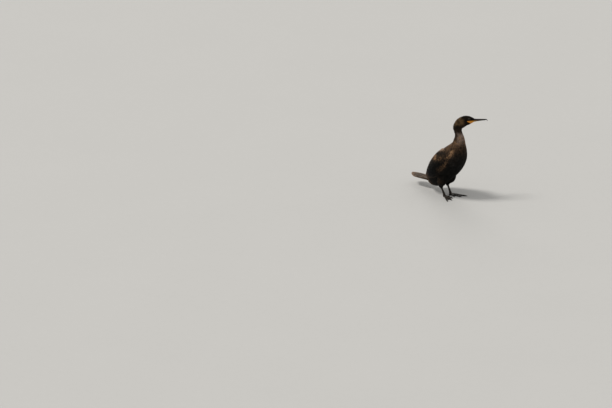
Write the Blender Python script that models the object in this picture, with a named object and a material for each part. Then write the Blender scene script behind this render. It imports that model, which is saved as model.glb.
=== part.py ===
"""Life-size standing model of a young cormorant, its head turned to its own left. +X is ahead, +Z up."""

import math
import random

import bmesh
import bpy
import numpy as np
from mathutils import Vector

MM = 0.001

# Driving dimensions, in millimetres and degrees
RING_POINTS = 24
STEPS_BETWEEN = 3
NODE_GAP = 0.3
HEAD_TURN = 54.0
CULMEN = 57.0
BILL_BASE = 116.0
EYE_RADIUS = 5.2
EYE_ALONG, EYE_HEIGHT, EYE_OUT = 92.0, 377.6, 10.2
LID_RADIUS, LID_THICKNESS, LID_OUT = 4.7, 0.95, 2.9
WING_THICKNESS = 15.0
VANE_THICKNESS = 1.2
TAIL_ROOT, TAIL_HEIGHT = -136.0, 46.0
TAIL_FEATHERS = 12
TAIL_LENGTH, TAIL_OUTER = 132.0, 0.7
TAIL_SPREAD = 8.0
FOOT_RIGHT = Vector((4.0, -23.0, 8.0))
FOOT_LEFT = Vector((-13.0, 23.0, 8.0))
HEEL_BACK, HEEL_HEIGHT = 29.0, 50.0
BARE_LEG = 0.75
TOE_OUTER, TOE_MIDDLE, TOE_INNER, TOE_HIND = 84.0, 71.0, 50.0, 25.0
TOE_ANGLES = (-15.0, 4.0, 26.0, 62.0)
TOE_OUT = 12.0
WEB_THICKNESS = 1.4

# Sections of the trunk: x, y, z, heading, pitch, half width, height above and depth below the axis
TRUNK = [
    (-130, 0, 46, 0, 10, 17, 13, 13),
    (-116, 0, 51, 0, 24, 27, 24, 27),
    (-94, 0, 66, 0, 38, 40, 37, 46),
    (-68, 0, 90, 0, 43, 50, 48, 59),
    (-40, 0, 118, 0, 46, 56, 54, 64),
    (-8, 0, 149, 0, 48, 60, 58, 70),
    (24, 0, 182, 0, 52, 61, 57, 70),
    (50, 0, 211, 0, 56, 57, 49, 60),
    (68, 0, 237, 0, 62, 45, 38, 44),
    (80, 0, 262, 0, 76, 31, 27, 29),
]
NECK = [
    (80, 0, 262, 0, 76, 31, 27, 29),
    (82, 0, 281, 0, 88, 25, 23, 26),
    (82.6, 0, 295.5, 4, 92, 20.5, 20.5, 21.5),
    (77.4, 0, 309, 14, 100, 17.5, 17.5, 17.5),
    (71.0, 0, 321, 32, 101, 17, 18, 18),
    (70.9, 1.3, 336.3, 54, 80, 17, 23, 20),
]
# Sections of the head, along and above the turned head's own line: along, height, pitch and the three radii
HEAD = [
    (43, 336.3, 80, 17, 23, 20),
    (58, 353.0, 45, 17.5, 29, 20),
    (76, 364.5, 15, 17, 26, 20),
    (92, 368.2, 3, 15, 21, 18),
    (105, 369.8, 0, 9.5, 14, 13),
    (116, 370.8, 0, 6.5, 7.5, 8),
]
UPPER_BILL = [
    (0.00, 0.0, 0, 6.4, 7.2, 0.6),
    (0.16, 0.8, 0, 4.9, 5.9, 0.6),
    (0.35, 1.7, 0, 4.0, 4.7, 0.6),
    (0.62, 2.6, 0, 3.3, 3.5, 0.6),
    (0.83, 2.9, -2, 3.0, 3.2, 0.9),
    (0.94, 2.3, -25, 2.4, 2.6, 1.4),
    (1.00, -0.4, -62, 1.4, 1.5, 1.2),
    (1.01, -3.4, -82, 0.5, 0.6, 0.5),
]
LOWER_BILL = [
    (0.00, -1.5, 0, 5.9, 0.5, 5.6),
    (0.20, -0.5, 0, 4.4, 0.5, 4.3),
    (0.45, 0.5, 0, 3.3, 0.5, 3.2),
    (0.70, 1.2, 0, 2.4, 0.5, 2.2),
    (0.86, 1.0, 2, 1.3, 0.3, 1.1),
]
# Sections of a wing: as the trunk's, then the angles of its upper and lower edge round from the back's
# midline
WING = [
    (68, 0, 236, 0, 61, 49, 42, 48, 60, 118),
    (34, 0, 195, 0, 52, 70, 61, 66, 34, 127),
    (-6, 0, 153, 0, 49, 72, 65, 66, 20, 127),
    (-46, 0, 112, 0, 47, 67, 61, 58, 14, 118),
    (-86, 0, 80, 0, 40, 53, 46, 44, 12, 100),
    (-120, 0, 66, 0, 22, 35, 30, 26, 14, 84),
    (-150, 0, 62, 0, 8, 23, 15, 10, 22, 72),
]

# Tiers of a wing's vanes: how many, the first's and last's place from the upper edge (0) to the lower
# edge (1), the root's and tip's place from the wrist (0) to the wing's end (6), how much nearer the last
# one's tip is, and the half width
WING_TIERS = [
    (4, 0.22, 0.84, 4.10, 5.97, 0.35, 9.0),
    (6, 0.34, 0.96, 2.45, 5.10, 1.00, 13.0),
    (6, 0.32, 0.97, 1.60, 3.35, 0.45, 13.5),
    (5, 0.34, 0.95, 0.80, 2.35, 0.30, 14.0),
    (5, 0.36, 0.92, 0.05, 1.40, 0.20, 14.0),
    (4, 0.06, 0.34, 2.50, 4.75, -0.25, 11.0),
    (4, 0.06, 0.36, 1.20, 3.20, -0.20, 12.0),
    (3, 0.10, 0.38, 0.25, 1.85, -0.15, 12.5),
]
# A vane from root to tip: how far along, its width, and its height over the surface
VANE_PROFILE = [
    (0.00, 0.80, -1.7),
    (0.45, 1.00, 0.4),
    (0.86, 0.84, 1.9),
    (1.00, 0.22, 2.6),
]
# Across a vane, from its left edge over the shaft's ridge to its right edge and back under it
VANE_SECTION = [(-1.0, 0.0), (0.0, 0.55), (1.0, 0.0), (0.0, -0.8)]
SEED = 11

SKIN_BROWN = (0.055, 0.043, 0.034)
NECK_BROWN = (0.085, 0.068, 0.052)
WING_BROWN = (0.075, 0.056, 0.042)
GULAR_YELLOW = (0.62, 0.36, 0.05)
BILL_DARK = (0.05, 0.04, 0.035)
BILL_HORN = (0.36, 0.22, 0.11)
EYE_BROWN = (0.035, 0.028, 0.02)
LEG_OLIVE = (0.06, 0.05, 0.035)


def rad(angle):
    return math.radians(angle)


def clear_scene():
    for obj in list(bpy.data.objects):
        bpy.data.objects.remove(obj, do_unlink=True)


def collection(name):
    made = bpy.data.collections.new(name)
    bpy.context.scene.collection.children.link(made)
    return made


def material(name, colour, roughness):
    made = bpy.data.materials.new(name)
    made.use_nodes = True
    shader = made.node_tree.nodes["Principled BSDF"]
    shader.inputs["Base Color"].default_value = (*colour, 1.0)
    shader.inputs["Roughness"].default_value = roughness
    return made


def mesh_object(name, home, points, faces):
    """A closed mesh object from points in millimetres, with its faces turned outwards."""
    bm = bmesh.new()
    made = [bm.verts.new(Vector(p) * MM) for p in points]
    for face in faces:
        bm.faces.new([made[i] for i in face])
    bmesh.ops.recalc_face_normals(bm, faces=bm.faces)
    if bm.calc_volume(signed=True) < 0:
        bmesh.ops.reverse_faces(bm, faces=bm.faces)
    bmesh.ops.triangulate(bm, faces=bm.faces)
    mesh = bpy.data.meshes.new(name)
    bm.to_mesh(mesh)
    bm.free()
    obj = bpy.data.objects.new(name, mesh)
    home.objects.link(obj)
    return obj


def between(sections, steps=STEPS_BETWEEN):
    """Sections on a smooth curve through the given ones."""
    keys = np.array(sections, float)
    made = []
    for i in range(len(keys) - 1):
        a, b = keys[max(i - 1, 0)], keys[i]
        c, d = keys[i + 1], keys[min(i + 2, len(keys) - 1)]
        for k in range(steps):
            t = k / steps
            cubic = -a + 3 * b - 3 * c + d
            made.append(0.5 * (2 * b + (c - a) * t + (2 * a - 5 * b + 4 * c - d) * t**2 + cubic * t**3))
    made.append(keys[-1])
    return made


def axes(heading, pitch):
    """The unit vectors along a section's axis, to its left and to its back."""
    h, p = rad(heading), rad(pitch)
    along = Vector((math.cos(p) * math.cos(h), math.cos(p) * math.sin(h), math.sin(p)))
    left = Vector((-math.sin(h), math.cos(h), 0.0))
    return along, left, along.cross(left)


def ring_point(section, angle, grow=0.0, side=1.0):
    """The point of a section at an angle round from its back, on its left side where side is 1."""
    x, y, z, heading, pitch, half, top, bottom = section[:8]
    _, left, back = axes(heading, pitch)
    height = top if math.cos(angle) > 0 else bottom
    out = left * (side * (half + grow) * math.sin(angle))
    return Vector((x, y, z)) + out + back * ((height + grow) * math.cos(angle))


def ring(section, grow=0.0, count=RING_POINTS):
    return [ring_point(section, 2 * math.pi * k / count, grow) for k in range(count)]


def skinned(rings):
    """Points and faces of a loft through rings of equal length, closed at both ends."""
    count = len(rings[0])
    points = [p for r in rings for p in r]
    faces = []
    for i in range(len(rings) - 1):
        for k in range(count):
            n = (k + 1) % count
            low, high = i * count, (i + 1) * count
            faces.append((low + k, low + n, high + n, high + k))
    faces.append(tuple(range(count)))
    faces.append(tuple(range(len(points) - count, len(points))))
    return points, faces


def trimmed(sections, start=0.0, end=0.0):
    """The sections with the first and last moved inwards along their own axes."""
    moved = [list(s) for s in sections]
    for index, reach in ((0, start), (-1, -end)):
        along, _, _ = axes(moved[index][3], moved[index][4])
        for k in range(3):
            moved[index][k] += along[k] * reach
    return moved


def loft(name, home, sections, grow=0.0, count=RING_POINTS):
    points, faces = skinned([ring(s, grow, count) for s in sections])
    return mesh_object(name, home, points, faces)


def head_place(along, height, out=0.0):
    """A place beside the head: along its turned line, above the floor, and out to its left."""
    forward = Vector((math.cos(rad(HEAD_TURN)), math.sin(rad(HEAD_TURN)), 0.0))
    left = Vector((-forward.y, forward.x, 0.0))
    return Vector((70.0, 0.0, height)) + forward * (along - 41.4) + left * out


def head_sections(rows):
    """Rows of the head or the bill as full sections."""
    made = []
    for along, height, pitch, half, top, bottom in rows:
        made.append((*head_place(along, height), HEAD_TURN, pitch, half, top, bottom))
    return made


def bill_sections(rows):
    base = HEAD[-1][1] - 0.6
    return head_sections([(BILL_BASE + NODE_GAP + CULMEN * r[0], base + r[1], *r[2:]) for r in rows])


def apply_boolean(obj, other, operation):
    """Joins or cuts obj with another object or collection, and applies the result."""
    modifier = obj.modifiers.new("join", "BOOLEAN")
    modifier.operation = operation
    modifier.solver = "MANIFOLD"
    if isinstance(other, bpy.types.Collection):
        modifier.operand_type = "COLLECTION"
        modifier.collection = other
    else:
        modifier.object = other
    graph = bpy.context.evaluated_depsgraph_get()
    mesh = bpy.data.meshes.new_from_object(obj.evaluated_get(graph))
    obj.modifiers.remove(modifier)
    old = obj.data
    obj.data = mesh
    bpy.data.meshes.remove(old)


def remove(objects):
    for obj in list(objects):
        bpy.data.objects.remove(obj, do_unlink=True)


def join(obj, others, helpers):
    """Joins closed pieces into obj by one Boolean union, and removes them."""
    group = bpy.data.collections.new("joined")
    helpers.children.link(group)
    for other in others:
        helpers.objects.unlink(other)
        group.objects.link(other)
    apply_boolean(obj, group, "UNION")
    remove(group.objects)
    bpy.data.collections.remove(group)


def cut(obj, cutters):
    for cutter in cutters:
        apply_boolean(obj, cutter, "DIFFERENCE")


def keep_largest(obj):
    """Leaves only the largest closed surface of a node, so that no loose chip or sealed pocket stays."""
    bm = bmesh.new()
    bm.from_mesh(obj.data)
    seen, groups = set(), []
    for start in bm.faces:
        if start in seen:
            continue
        group, queue = [], [start]
        seen.add(start)
        while queue:
            face = queue.pop()
            group.append(face)
            for edge in face.edges:
                for other in edge.link_faces:
                    if other not in seen:
                        seen.add(other)
                        queue.append(other)
        groups.append(group)
    groups.sort(key=len)
    bmesh.ops.delete(bm, geom=[f for g in groups[:-1] for f in g], context="FACES")
    bm.to_mesh(obj.data)
    bm.free()


def finish(obj, made):
    obj.data.materials.clear()
    obj.data.materials.append(made)


def ball(name, home, centre, radius):
    bm = bmesh.new()
    bmesh.ops.create_uvsphere(bm, u_segments=16, v_segments=10, radius=radius * MM)
    bmesh.ops.translate(bm, verts=bm.verts, vec=centre * MM)
    bmesh.ops.triangulate(bm, faces=bm.faces)
    mesh = bpy.data.meshes.new(name)
    bm.to_mesh(mesh)
    bm.free()
    obj = bpy.data.objects.new(name, mesh)
    home.objects.link(obj)
    return obj


def hoop(name, home, centre, facing, major, minor):
    """A closed ring round an eye, lying across the direction it faces."""
    facing = facing.normalized()
    up = (Vector((0, 0, 1)) - facing * facing.z).normalized()
    across = facing.cross(up)
    rings = []
    for i in range(16):
        turn = 2 * math.pi * i / 16
        out = across * math.cos(turn) + up * math.sin(turn)
        made = []
        for k in range(6):
            t = 2 * math.pi * k / 6
            made.append(centre + out * (major + minor * math.cos(t)) + facing * (minor * math.sin(t)))
        rings.append(made)
    points = [p for r in rings for p in r]
    faces = []
    for i in range(16):
        for k in range(6):
            n, m = (i + 1) % 16, (k + 1) % 6
            faces.append((i * 6 + k, i * 6 + m, n * 6 + m, n * 6 + k))
    return mesh_object(name, home, points, faces)


def wedge(name, home, profile, half):
    """A prism across the head, from a profile given along and above the head's line."""
    points = [head_place(a, h, side * half) for side in (-1, 1) for a, h in profile]
    n = len(profile)
    faces = [tuple(range(n)), tuple(range(n, 2 * n))]
    faces += [(i, (i + 1) % n, n + (i + 1) % n, n + i) for i in range(n)]
    return mesh_object(name, home, points, faces)


def throat_profile(gap):
    """The outline of the bare throat's wedge: under the mouth line, and ahead of the cheek's feathers."""
    ahead = BILL_BASE + 8
    border = [(85.5, 366.0), (93.0, 360.0), (101.0, 352.5), (107.0, 344.0), (110.0, 330.0)]
    return [(84.5 + gap, 370.4 - gap), (ahead, 369.4 - gap), (ahead, 330.0)] + [
        (along + gap, height) for along, height in reversed(border)
    ]


def build_head(home, helpers):
    sections = between(trimmed(head_sections(HEAD), start=NODE_GAP))
    head = loft("head", home, sections)
    lids, sockets = [], []
    for side in (-1, 1):
        centre = head_place(EYE_ALONG, EYE_HEIGHT, side * EYE_OUT)
        facing = head_place(EYE_ALONG + 1.5, EYE_HEIGHT, side * 20) - head_place(EYE_ALONG, EYE_HEIGHT, 0)
        place = centre + facing.normalized() * LID_OUT
        lids.append(hoop("lid", helpers, place, facing, LID_RADIUS, LID_THICKNESS))
        sockets.append(ball("socket", helpers, centre, EYE_RADIUS + NODE_GAP))
    join(head, lids, helpers)
    throat = loft("gular_pouch", home, sections)
    outer = wedge("throat_cutter", helpers, throat_profile(0.0), 40)
    inner = wedge("throat_keeper", helpers, throat_profile(NODE_GAP), 40)
    cut(head, sockets + [outer])
    apply_boolean(throat, inner, "INTERSECT")
    cut(throat, sockets)
    keep_largest(head)
    keep_largest(throat)
    remove(sockets + [outer, inner])
    finish(head, material("head_feathers", SKIN_BROWN, 0.7))
    finish(throat, material("bare_throat", GULAR_YELLOW, 0.45))


def build_eyes(home):
    made = material("eye_dark", EYE_BROWN, 0.08)
    for name, side in (("eye_right", -1), ("eye_left", 1)):
        eye = ball(name, home, head_place(EYE_ALONG, EYE_HEIGHT, side * EYE_OUT), EYE_RADIUS)
        finish(eye, made.copy())


def build_bill(home):
    upper = loft("bill_upper", home, between(bill_sections(UPPER_BILL), 2), count=14)
    lower = loft("bill_lower", home, between(bill_sections(LOWER_BILL), 2), count=14)
    finish(upper, material("bill_horn_dark", BILL_DARK, 0.35))
    finish(lower, material("bill_horn_pale", BILL_HORN, 0.4))


def wing_ring(section, side, thickness, points=8):
    """The closed section of a folded wing: its outer arc, then its inner arc back again."""
    low, high = rad(section[8]), rad(section[9])
    turns = [low + (high - low) * k / (points - 1) for k in range(points)]
    outer = [ring_point(section, t, 0.0, side) for t in turns]
    inner = [ring_point(section, t, -thickness, side) for t in reversed(turns[1:-1:2])]
    return outer + inner


def wing_core(name, home, side):
    sections = between(WING, 2)
    last = len(sections) - 1
    rings = []
    for i, section in enumerate(sections):
        rear = max(0.0, (i / last - 0.6) / 0.4)
        rings.append(wing_ring(section, side, WING_THICKNESS * (1 - rear) + 3.0 * rear))
    points, faces = skinned(rings)
    return mesh_object(name, home, points, faces)


def wing_place(along, across, side):
    """A point on a wing's outer surface and the direction out of it there."""
    first = min(int(along), len(WING) - 2)
    t = along - first
    a, b = np.array(WING[first], float), np.array(WING[first + 1], float)
    before = np.array(WING[max(first - 1, 0)], float)
    after = np.array(WING[min(first + 2, len(WING) - 1)], float)
    cubic = -before + 3 * a - 3 * b + after
    section = 0.5 * (2 * a + (b - before) * t + (2 * before - 5 * a + 4 * b - after) * t**2 + cubic * t**3)
    angle = rad(section[8] + (section[9] - section[8]) * across)
    place = ring_point(section, angle, 0.0, side)
    return place, (ring_point(section, angle, 1.0, side) - place).normalized()


def vane_ring(centre, along, out, half, lift, roll, thickness):
    """Four points round a vane, bent a little over the surface under it."""
    across = along.cross(out).normalized()
    made = []
    for x, y in VANE_SECTION:
        height = lift + roll * x + thickness * y - half * half * x * x / 140.0
        made.append(centre + across * (half * x) + out * height)
    return made


def wing_vane(root, tip, across, half, roll, side, helpers):
    rings = []
    for t, width, lift in VANE_PROFILE:
        along = root + (tip - root) * t
        centre, out = wing_place(along, across, side)
        step = wing_place(along + 0.02, across, side)[0] - wing_place(along - 0.02, across, side)[0]
        tilt = roll * width
        rings.append(vane_ring(centre, step.normalized(), out, half * width, lift, tilt, VANE_THICKNESS))
    points, faces = skinned(rings)
    return mesh_object("vane", helpers, points, faces)


def wing_vanes(side, helpers):
    """All the vanes of a wing, each a little unlike the next."""
    chance = random.Random(SEED + side)
    made = []
    for count, first, last, root, tip, nearer, half in WING_TIERS:
        for i in range(count):
            t = i / (count - 1)
            across = first + (last - first) * t + chance.uniform(-0.012, 0.012)
            end = tip - nearer * t + chance.uniform(-0.06, 0.03)
            start = root + chance.uniform(0.0, 0.08)
            wide = half * chance.uniform(0.94, 1.06)
            made.append(wing_vane(start, min(end, 5.97), across, wide, side * 1.0, side, helpers))
    return made


def build_wing(name, side, home, helpers, cutters):
    wing = wing_core(name, home, side)
    join(wing, wing_vanes(side, helpers), helpers)
    cut(wing, cutters)
    keep_largest(wing)
    finish(wing, material(name + "_feathers", WING_BROWN, 0.65))


def tail_feather(place, helpers):
    """One tail feather; place runs from -1 at the right edge to 1 at the left."""
    turn = rad(180 - place * TAIL_SPREAD)
    along = Vector((math.cos(turn), math.sin(turn), 0.0))
    length = TAIL_LENGTH * (1 - (1 - TAIL_OUTER) * abs(place) ** 1.6)
    root = Vector((TAIL_ROOT, place * 14.0, TAIL_HEIGHT - 1.6 * abs(place)))
    rings = []
    for t, width in ((0.0, 0.9), (0.85, 1.0), (0.96, 0.6), (1.0, 0.2)):
        centre = root + along * (length * t)
        tilt = 0.5 * math.copysign(1, place)
        rings.append(vane_ring(centre, along, Vector((0, 0, 1)), 7.2 * width, 0.0, tilt, 1.3))
    points, faces = skinned(rings)
    return mesh_object("feather", helpers, points, faces)


def build_tail(home, helpers):
    root = trimmed(TRUNK[:1], NODE_GAP * -1.5)[0]
    rows = [
        (-142, TAIL_HEIGHT, 19, 8.0),
        (-158, TAIL_HEIGHT, 20, 3.6),
        (-176, TAIL_HEIGHT, 17, 1.2),
    ]
    sections = [root] + [(x, 0, z, 0, 0, half, thick, thick) for x, z, half, thick in rows]
    tail = loft("tail", home, between(sections, 3), count=20)
    places = [2 * i / (TAIL_FEATHERS - 1) - 1 for i in range(TAIL_FEATHERS)]
    join(tail, [tail_feather(place, helpers) for place in places], helpers)
    keep_largest(tail)
    finish(tail, material("tail_feathers", WING_BROWN, 0.6))


def leg_line(foot):
    """The side of a foot's leg, the place of its heel and the lean of its shank."""
    side = 1 if foot.y > 0 else -1
    heel = Vector((foot.x - HEEL_BACK, foot.y + side * 1.5, HEEL_HEIGHT))
    return side, heel, math.degrees(math.atan2(HEEL_HEIGHT - foot.z, -HEEL_BACK))


def thigh_sections(foot):
    side, heel, lean = leg_line(foot)
    return [
        (heel.x + 34, side * 25, heel.z + 54, 0, 62, 21, 26, 24),
        (heel.x + 23, side * 31, heel.z + 34, 0, 66, 21, 25, 26),
        (heel.x + 13, side * 31, heel.z + 15, 0, 72, 18, 19, 25),
        (heel.x + 5, heel.y + side * 2, heel.z, 0, 84, 13, 13, 17.5),
        (*foot.lerp(heel, BARE_LEG), 0, lean - 14, 8, 8.5, 9),
    ]


def build_thigh(name, foot, home, torso_cutter):
    thigh = loft(name, home, between(thigh_sections(foot), 3), count=20)
    cut(thigh, [torso_cutter])
    keep_largest(thigh)
    finish(thigh, material(name + "_feathers", SKIN_BROWN, 0.7))


def build_shank(name, foot, home):
    _, heel, lean = leg_line(foot)
    rows = [
        (0.12, 4.6, 5.4),
        (0.3, 3.7, 5.0),
        (0.52, 3.6, 4.8),
    ]
    sections = []
    for t, half, deep in rows:
        at = foot.lerp(heel, t)
        sections.append((*at, 0, lean, half, deep, deep))
    top = foot.lerp(heel, BARE_LEG) - axes(0, lean - 14)[0] * NODE_GAP
    sections.append((*top, 0, lean - 14, 4.4, 5.4, 5.4))
    shank = loft(name, home, between(sections, 3), count=16)
    finish(shank, material(name + "_scales", LEG_OLIVE, 0.5))


def floor_ring(section, count=8):
    """A ring whose points under the floor are brought up onto it, for a flat sole."""
    made = ring(section, 0.0, count)
    return [Vector((p.x, p.y, max(p.z, 0.0))) for p in made]


def toe_direction(foot, angle):
    side = 1 if foot.y > 0 else -1
    turn = rad(side * (TOE_OUT - angle))
    return Vector((math.cos(turn), math.sin(turn), 0.0))


def toe(foot, length, angle, helpers):
    """A toe from the foot's joint to its claw, with knuckles and a flat sole."""
    forward = toe_direction(foot, angle)
    heading = math.degrees(math.atan2(forward.y, forward.x))
    sections = []
    for t in (0.0, 0.2, 0.38, 0.52, 0.84):
        knuckle = 0.7 if t in (0.38, 0.84) else 0.0
        radius = 4.2 - 2.0 * t + knuckle
        height = radius * 0.8
        at = foot + forward * (length * t)
        sections.append((at.x, at.y, height, heading, 0, radius * 0.9, radius * 0.85, radius))
    tip = foot + forward * length
    rings = [floor_ring(s) for s in sections]
    end = foot + forward * (length * 0.965)
    rings.append(floor_ring((end.x, end.y, 2.0, heading, -20, 1.3, 1.6, 1.2)))
    rings.append(floor_ring((tip.x, tip.y, 1.0, heading, -50, 0.35, 0.5, 0.4)))
    points, faces = skinned(rings)
    return mesh_object("toe", helpers, points, faces)


def web(foot, first, second, helpers):
    """The skin between two toes, its free edge drawn back between their ends."""
    (length_a, angle_a), (length_b, angle_b) = first, second
    a, b = toe_direction(foot, angle_a), toe_direction(foot, angle_b)
    rows, columns = 5, 5
    top, under = [], []
    for i in range(rows):
        t = 0.04 + 0.86 * i / (rows - 1)
        for k in range(columns):
            s = k / (columns - 1)
            back = 1 - 0.22 * math.sin(math.pi * s) * t
            at = (a * length_a * (1 - s) + b * length_b * s) * t * back
            height = 0.5 + 0.5 * abs(2 * s - 1)
            top.append(Vector((foot.x + at.x, foot.y + at.y, height + WEB_THICKNESS)))
            under.append(Vector((foot.x + at.x, foot.y + at.y, height)))
    n = rows * columns
    faces = []
    for i in range(rows - 1):
        for k in range(columns - 1):
            c = i * columns + k
            corners = (c, c + 1, c + columns + 1, c + columns)
            faces.append((corners[0], corners[1], corners[2]))
            faces.append((corners[0], corners[2], corners[3]))
            faces.append((n + corners[0], n + corners[2], n + corners[1]))
            faces.append((n + corners[0], n + corners[3], n + corners[2]))
    rim = [k for k in range(columns)]
    rim += [i * columns + columns - 1 for i in range(1, rows)]
    rim += [(rows - 1) * columns + k for k in range(columns - 2, -1, -1)]
    rim += [i * columns for i in range(rows - 2, 0, -1)]
    for i, c in enumerate(rim):
        d = rim[(i + 1) % len(rim)]
        faces.append((c, d, n + d, n + c))
    return mesh_object("web", helpers, top + under, faces)


def build_foot(name, foot, home, helpers):
    _, heel, lean = leg_line(foot)
    at = foot.lerp(heel, 0.12) - axes(0, lean)[0] * NODE_GAP
    sections = [
        (foot.x + 1, foot.y, 2.5, 0, 90, 6.6, 8.0, 7.0),
        (foot.x, foot.y, 6.0, 0, 95, 6.2, 7.4, 7.0),
        (*at, 0, lean, 4.6, 5.4, 5.4),
    ]
    base = ring((foot.x + 1, foot.y, 0.0, 0, 90, 6.0, 7.2, 6.4), 0.0, 16)
    rings = [base] + [ring(s, 0.0, 16) for s in between(sections, 3)]
    points, faces = skinned(rings)
    made = mesh_object(name, home, points, faces)
    toes = list(zip((TOE_OUTER, TOE_MIDDLE, TOE_INNER, TOE_HIND), TOE_ANGLES))
    pieces = [toe(foot, length, angle, helpers) for length, angle in toes]
    pieces += [web(foot, toes[i], toes[i + 1], helpers) for i in range(3)]
    join(made, pieces, helpers)
    keep_largest(made)
    finish(made, material(name + "_webs", LEG_OLIVE, 0.5))


def recentre(home):
    """Moves every node so that the whole is centred over the origin and stands on the floor."""
    points = [obj.matrix_world @ v.co for obj in home.objects for v in obj.data.vertices]
    low = Vector([min(p[k] for p in points) for k in range(3)])
    high = Vector([max(p[k] for p in points) for k in range(3)])
    shift = Vector((-(low.x + high.x) / 2, -(low.y + high.y) / 2, -low.z))
    for obj in home.objects:
        for vert in obj.data.vertices:
            vert.co += shift


def main():
    clear_scene()
    home = collection("cormorant")
    helpers = collection("helpers")
    helpers.hide_render = True
    torso = loft("torso", home, between(trimmed(TRUNK, end=NODE_GAP / 2), 2))
    finish(torso, material("torso_feathers", SKIN_BROWN, 0.7))
    neck = loft("neck", home, between(trimmed(NECK, NODE_GAP / 2, 0.0)))
    finish(neck, material("neck_feathers", NECK_BROWN, 0.7))
    torso_cutter = loft("torso_cutter", helpers, between(trimmed(TRUNK, -1.0, -1.0), 2), grow=NODE_GAP + 0.1)
    build_head(home, helpers)
    build_eyes(home)
    build_bill(home)
    build_tail(home, helpers)
    for name, foot in (("right", FOOT_RIGHT), ("left", FOOT_LEFT)):
        side, _, _ = leg_line(foot)
        build_thigh("thigh_" + name, foot, home, torso_cutter)
        sections = between(thigh_sections(foot), 3)
        thigh_cutter = loft("thigh_cutter", helpers, sections, NODE_GAP + 0.1, 20)
        build_wing("wing_" + name, side, home, helpers, [torso_cutter, thigh_cutter])
        build_shank("shank_" + name, foot, home)
        build_foot("foot_" + name, foot, home, helpers)
    remove(helpers.objects)
    bpy.data.collections.remove(helpers)
    recentre(home)


main()
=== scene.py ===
"""Life-size young cormorant, standing: skin, feathers, bill, eyes, legs and studio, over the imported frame."""

import functools
import math

import bmesh
import bpy
import numpy as np
from bpy.props import FloatProperty, FloatVectorProperty, IntProperty, PointerProperty
from mathutils import Matrix, Vector, noise


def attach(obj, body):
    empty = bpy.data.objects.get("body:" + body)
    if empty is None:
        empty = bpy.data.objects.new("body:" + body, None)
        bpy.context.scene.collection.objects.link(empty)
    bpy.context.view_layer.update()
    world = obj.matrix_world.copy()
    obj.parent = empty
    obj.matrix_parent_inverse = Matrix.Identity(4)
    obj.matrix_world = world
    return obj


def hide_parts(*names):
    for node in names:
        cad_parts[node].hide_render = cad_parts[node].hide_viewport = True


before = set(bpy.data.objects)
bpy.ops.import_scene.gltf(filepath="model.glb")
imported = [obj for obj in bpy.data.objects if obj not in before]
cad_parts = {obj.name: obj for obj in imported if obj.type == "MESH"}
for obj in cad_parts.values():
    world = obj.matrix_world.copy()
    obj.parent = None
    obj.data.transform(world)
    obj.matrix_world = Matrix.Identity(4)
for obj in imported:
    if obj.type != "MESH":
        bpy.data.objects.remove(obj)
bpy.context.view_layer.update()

bl_info = {
    "name": "Standing cormorant",
    "version": (1, 0, 0),
    "blender": (4, 5, 0),
    "location": "3D View > Sidebar > Cormorant",
    "description": "Builds a feathered, life-size young cormorant over its solid frame",
    "category": "Add Mesh",
}

MM = 0.001
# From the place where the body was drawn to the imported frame's own origin, in millimetres
SHIFT = np.array((59.127, -16.347, 0.0))
# Degrees the head is turned to the bird's left; then the upright line it turns about, by its x and by how far
# along the head it stands
HEAD_TURN = 54.0
PIVOT_X, PIVOT_ALONG = 70.0, 41.4
# Lowest height of what belongs to the head
HEAD_FOOT = 335

# The trunk's middle line: x and z of its start, its way in x and z, and its length
TRUNK_START = (-130, 46)
TRUNK_WAY = (0.697, 0.717)
TRUNK_LENGTH = 301
# The oval across the trunk within which thigh feathers are hidden: its reach to the belly and to the side,
# and its squared size
OVAL_DEPTH, OVAL_SIDE, OVAL_SIZE = 66, 57, 0.72
# Where a folded wing hides the body: from and to which x, and below which station
COVERED_FROM, COVERED_TO, COVERED_END = -84, 60, 9

# Sections of the trunk and neck: x, y, z, heading, pitch, half width, height above and depth below the axis
TRUNK = [
    (-130, 0, 46, 0, 10, 17, 13, 13),
    (-116, 0, 51, 0, 24, 27, 24, 27),
    (-94, 0, 66, 0, 38, 40, 37, 46),
    (-68, 0, 90, 0, 43, 50, 48, 59),
    (-40, 0, 118, 0, 46, 56, 54, 64),
    (-8, 0, 149, 0, 48, 60, 58, 70),
    (24, 0, 182, 0, 52, 61, 57, 70),
    (50, 0, 211, 0, 56, 57, 49, 60),
    (68, 0, 237, 0, 62, 45, 38, 44),
    (80, 0, 262, 0, 76, 31, 29.5, 29),
]
NECK = [
    (82, 0, 281, 0, 88, 25, 26, 26),
    (82.6, 0, 295.5, 4, 92, 20.5, 22, 21.5),
    (77.4, 0, 309, 14, 100, 17.5, 17.5, 17.5),
    (71.0, 0, 321, 32, 101, 17, 18, 18),
    (70.9, 1.3, 336.3, 54, 80, 17, 23, 20),
]
# Sections of the head: place along it and height, then as the trunk's from the pitch on
HEAD = [
    (58, 353.0, 45, 17.5, 29, 20),
    (76, 364.5, 15, 17, 26, 20),
    (92, 368.2, 3, 15, 21, 18),
    (105, 369.8, 0, 9.5, 14, 13),
    (116, 370.8, 0, 6.5, 7.5, 8),
]
# Where the bill starts along the head, how long it is, and the height of its start
BILL_ROOT, BILL_LENGTH, BILL_HEIGHT = 116.3, 57.0, 370.2
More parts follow.
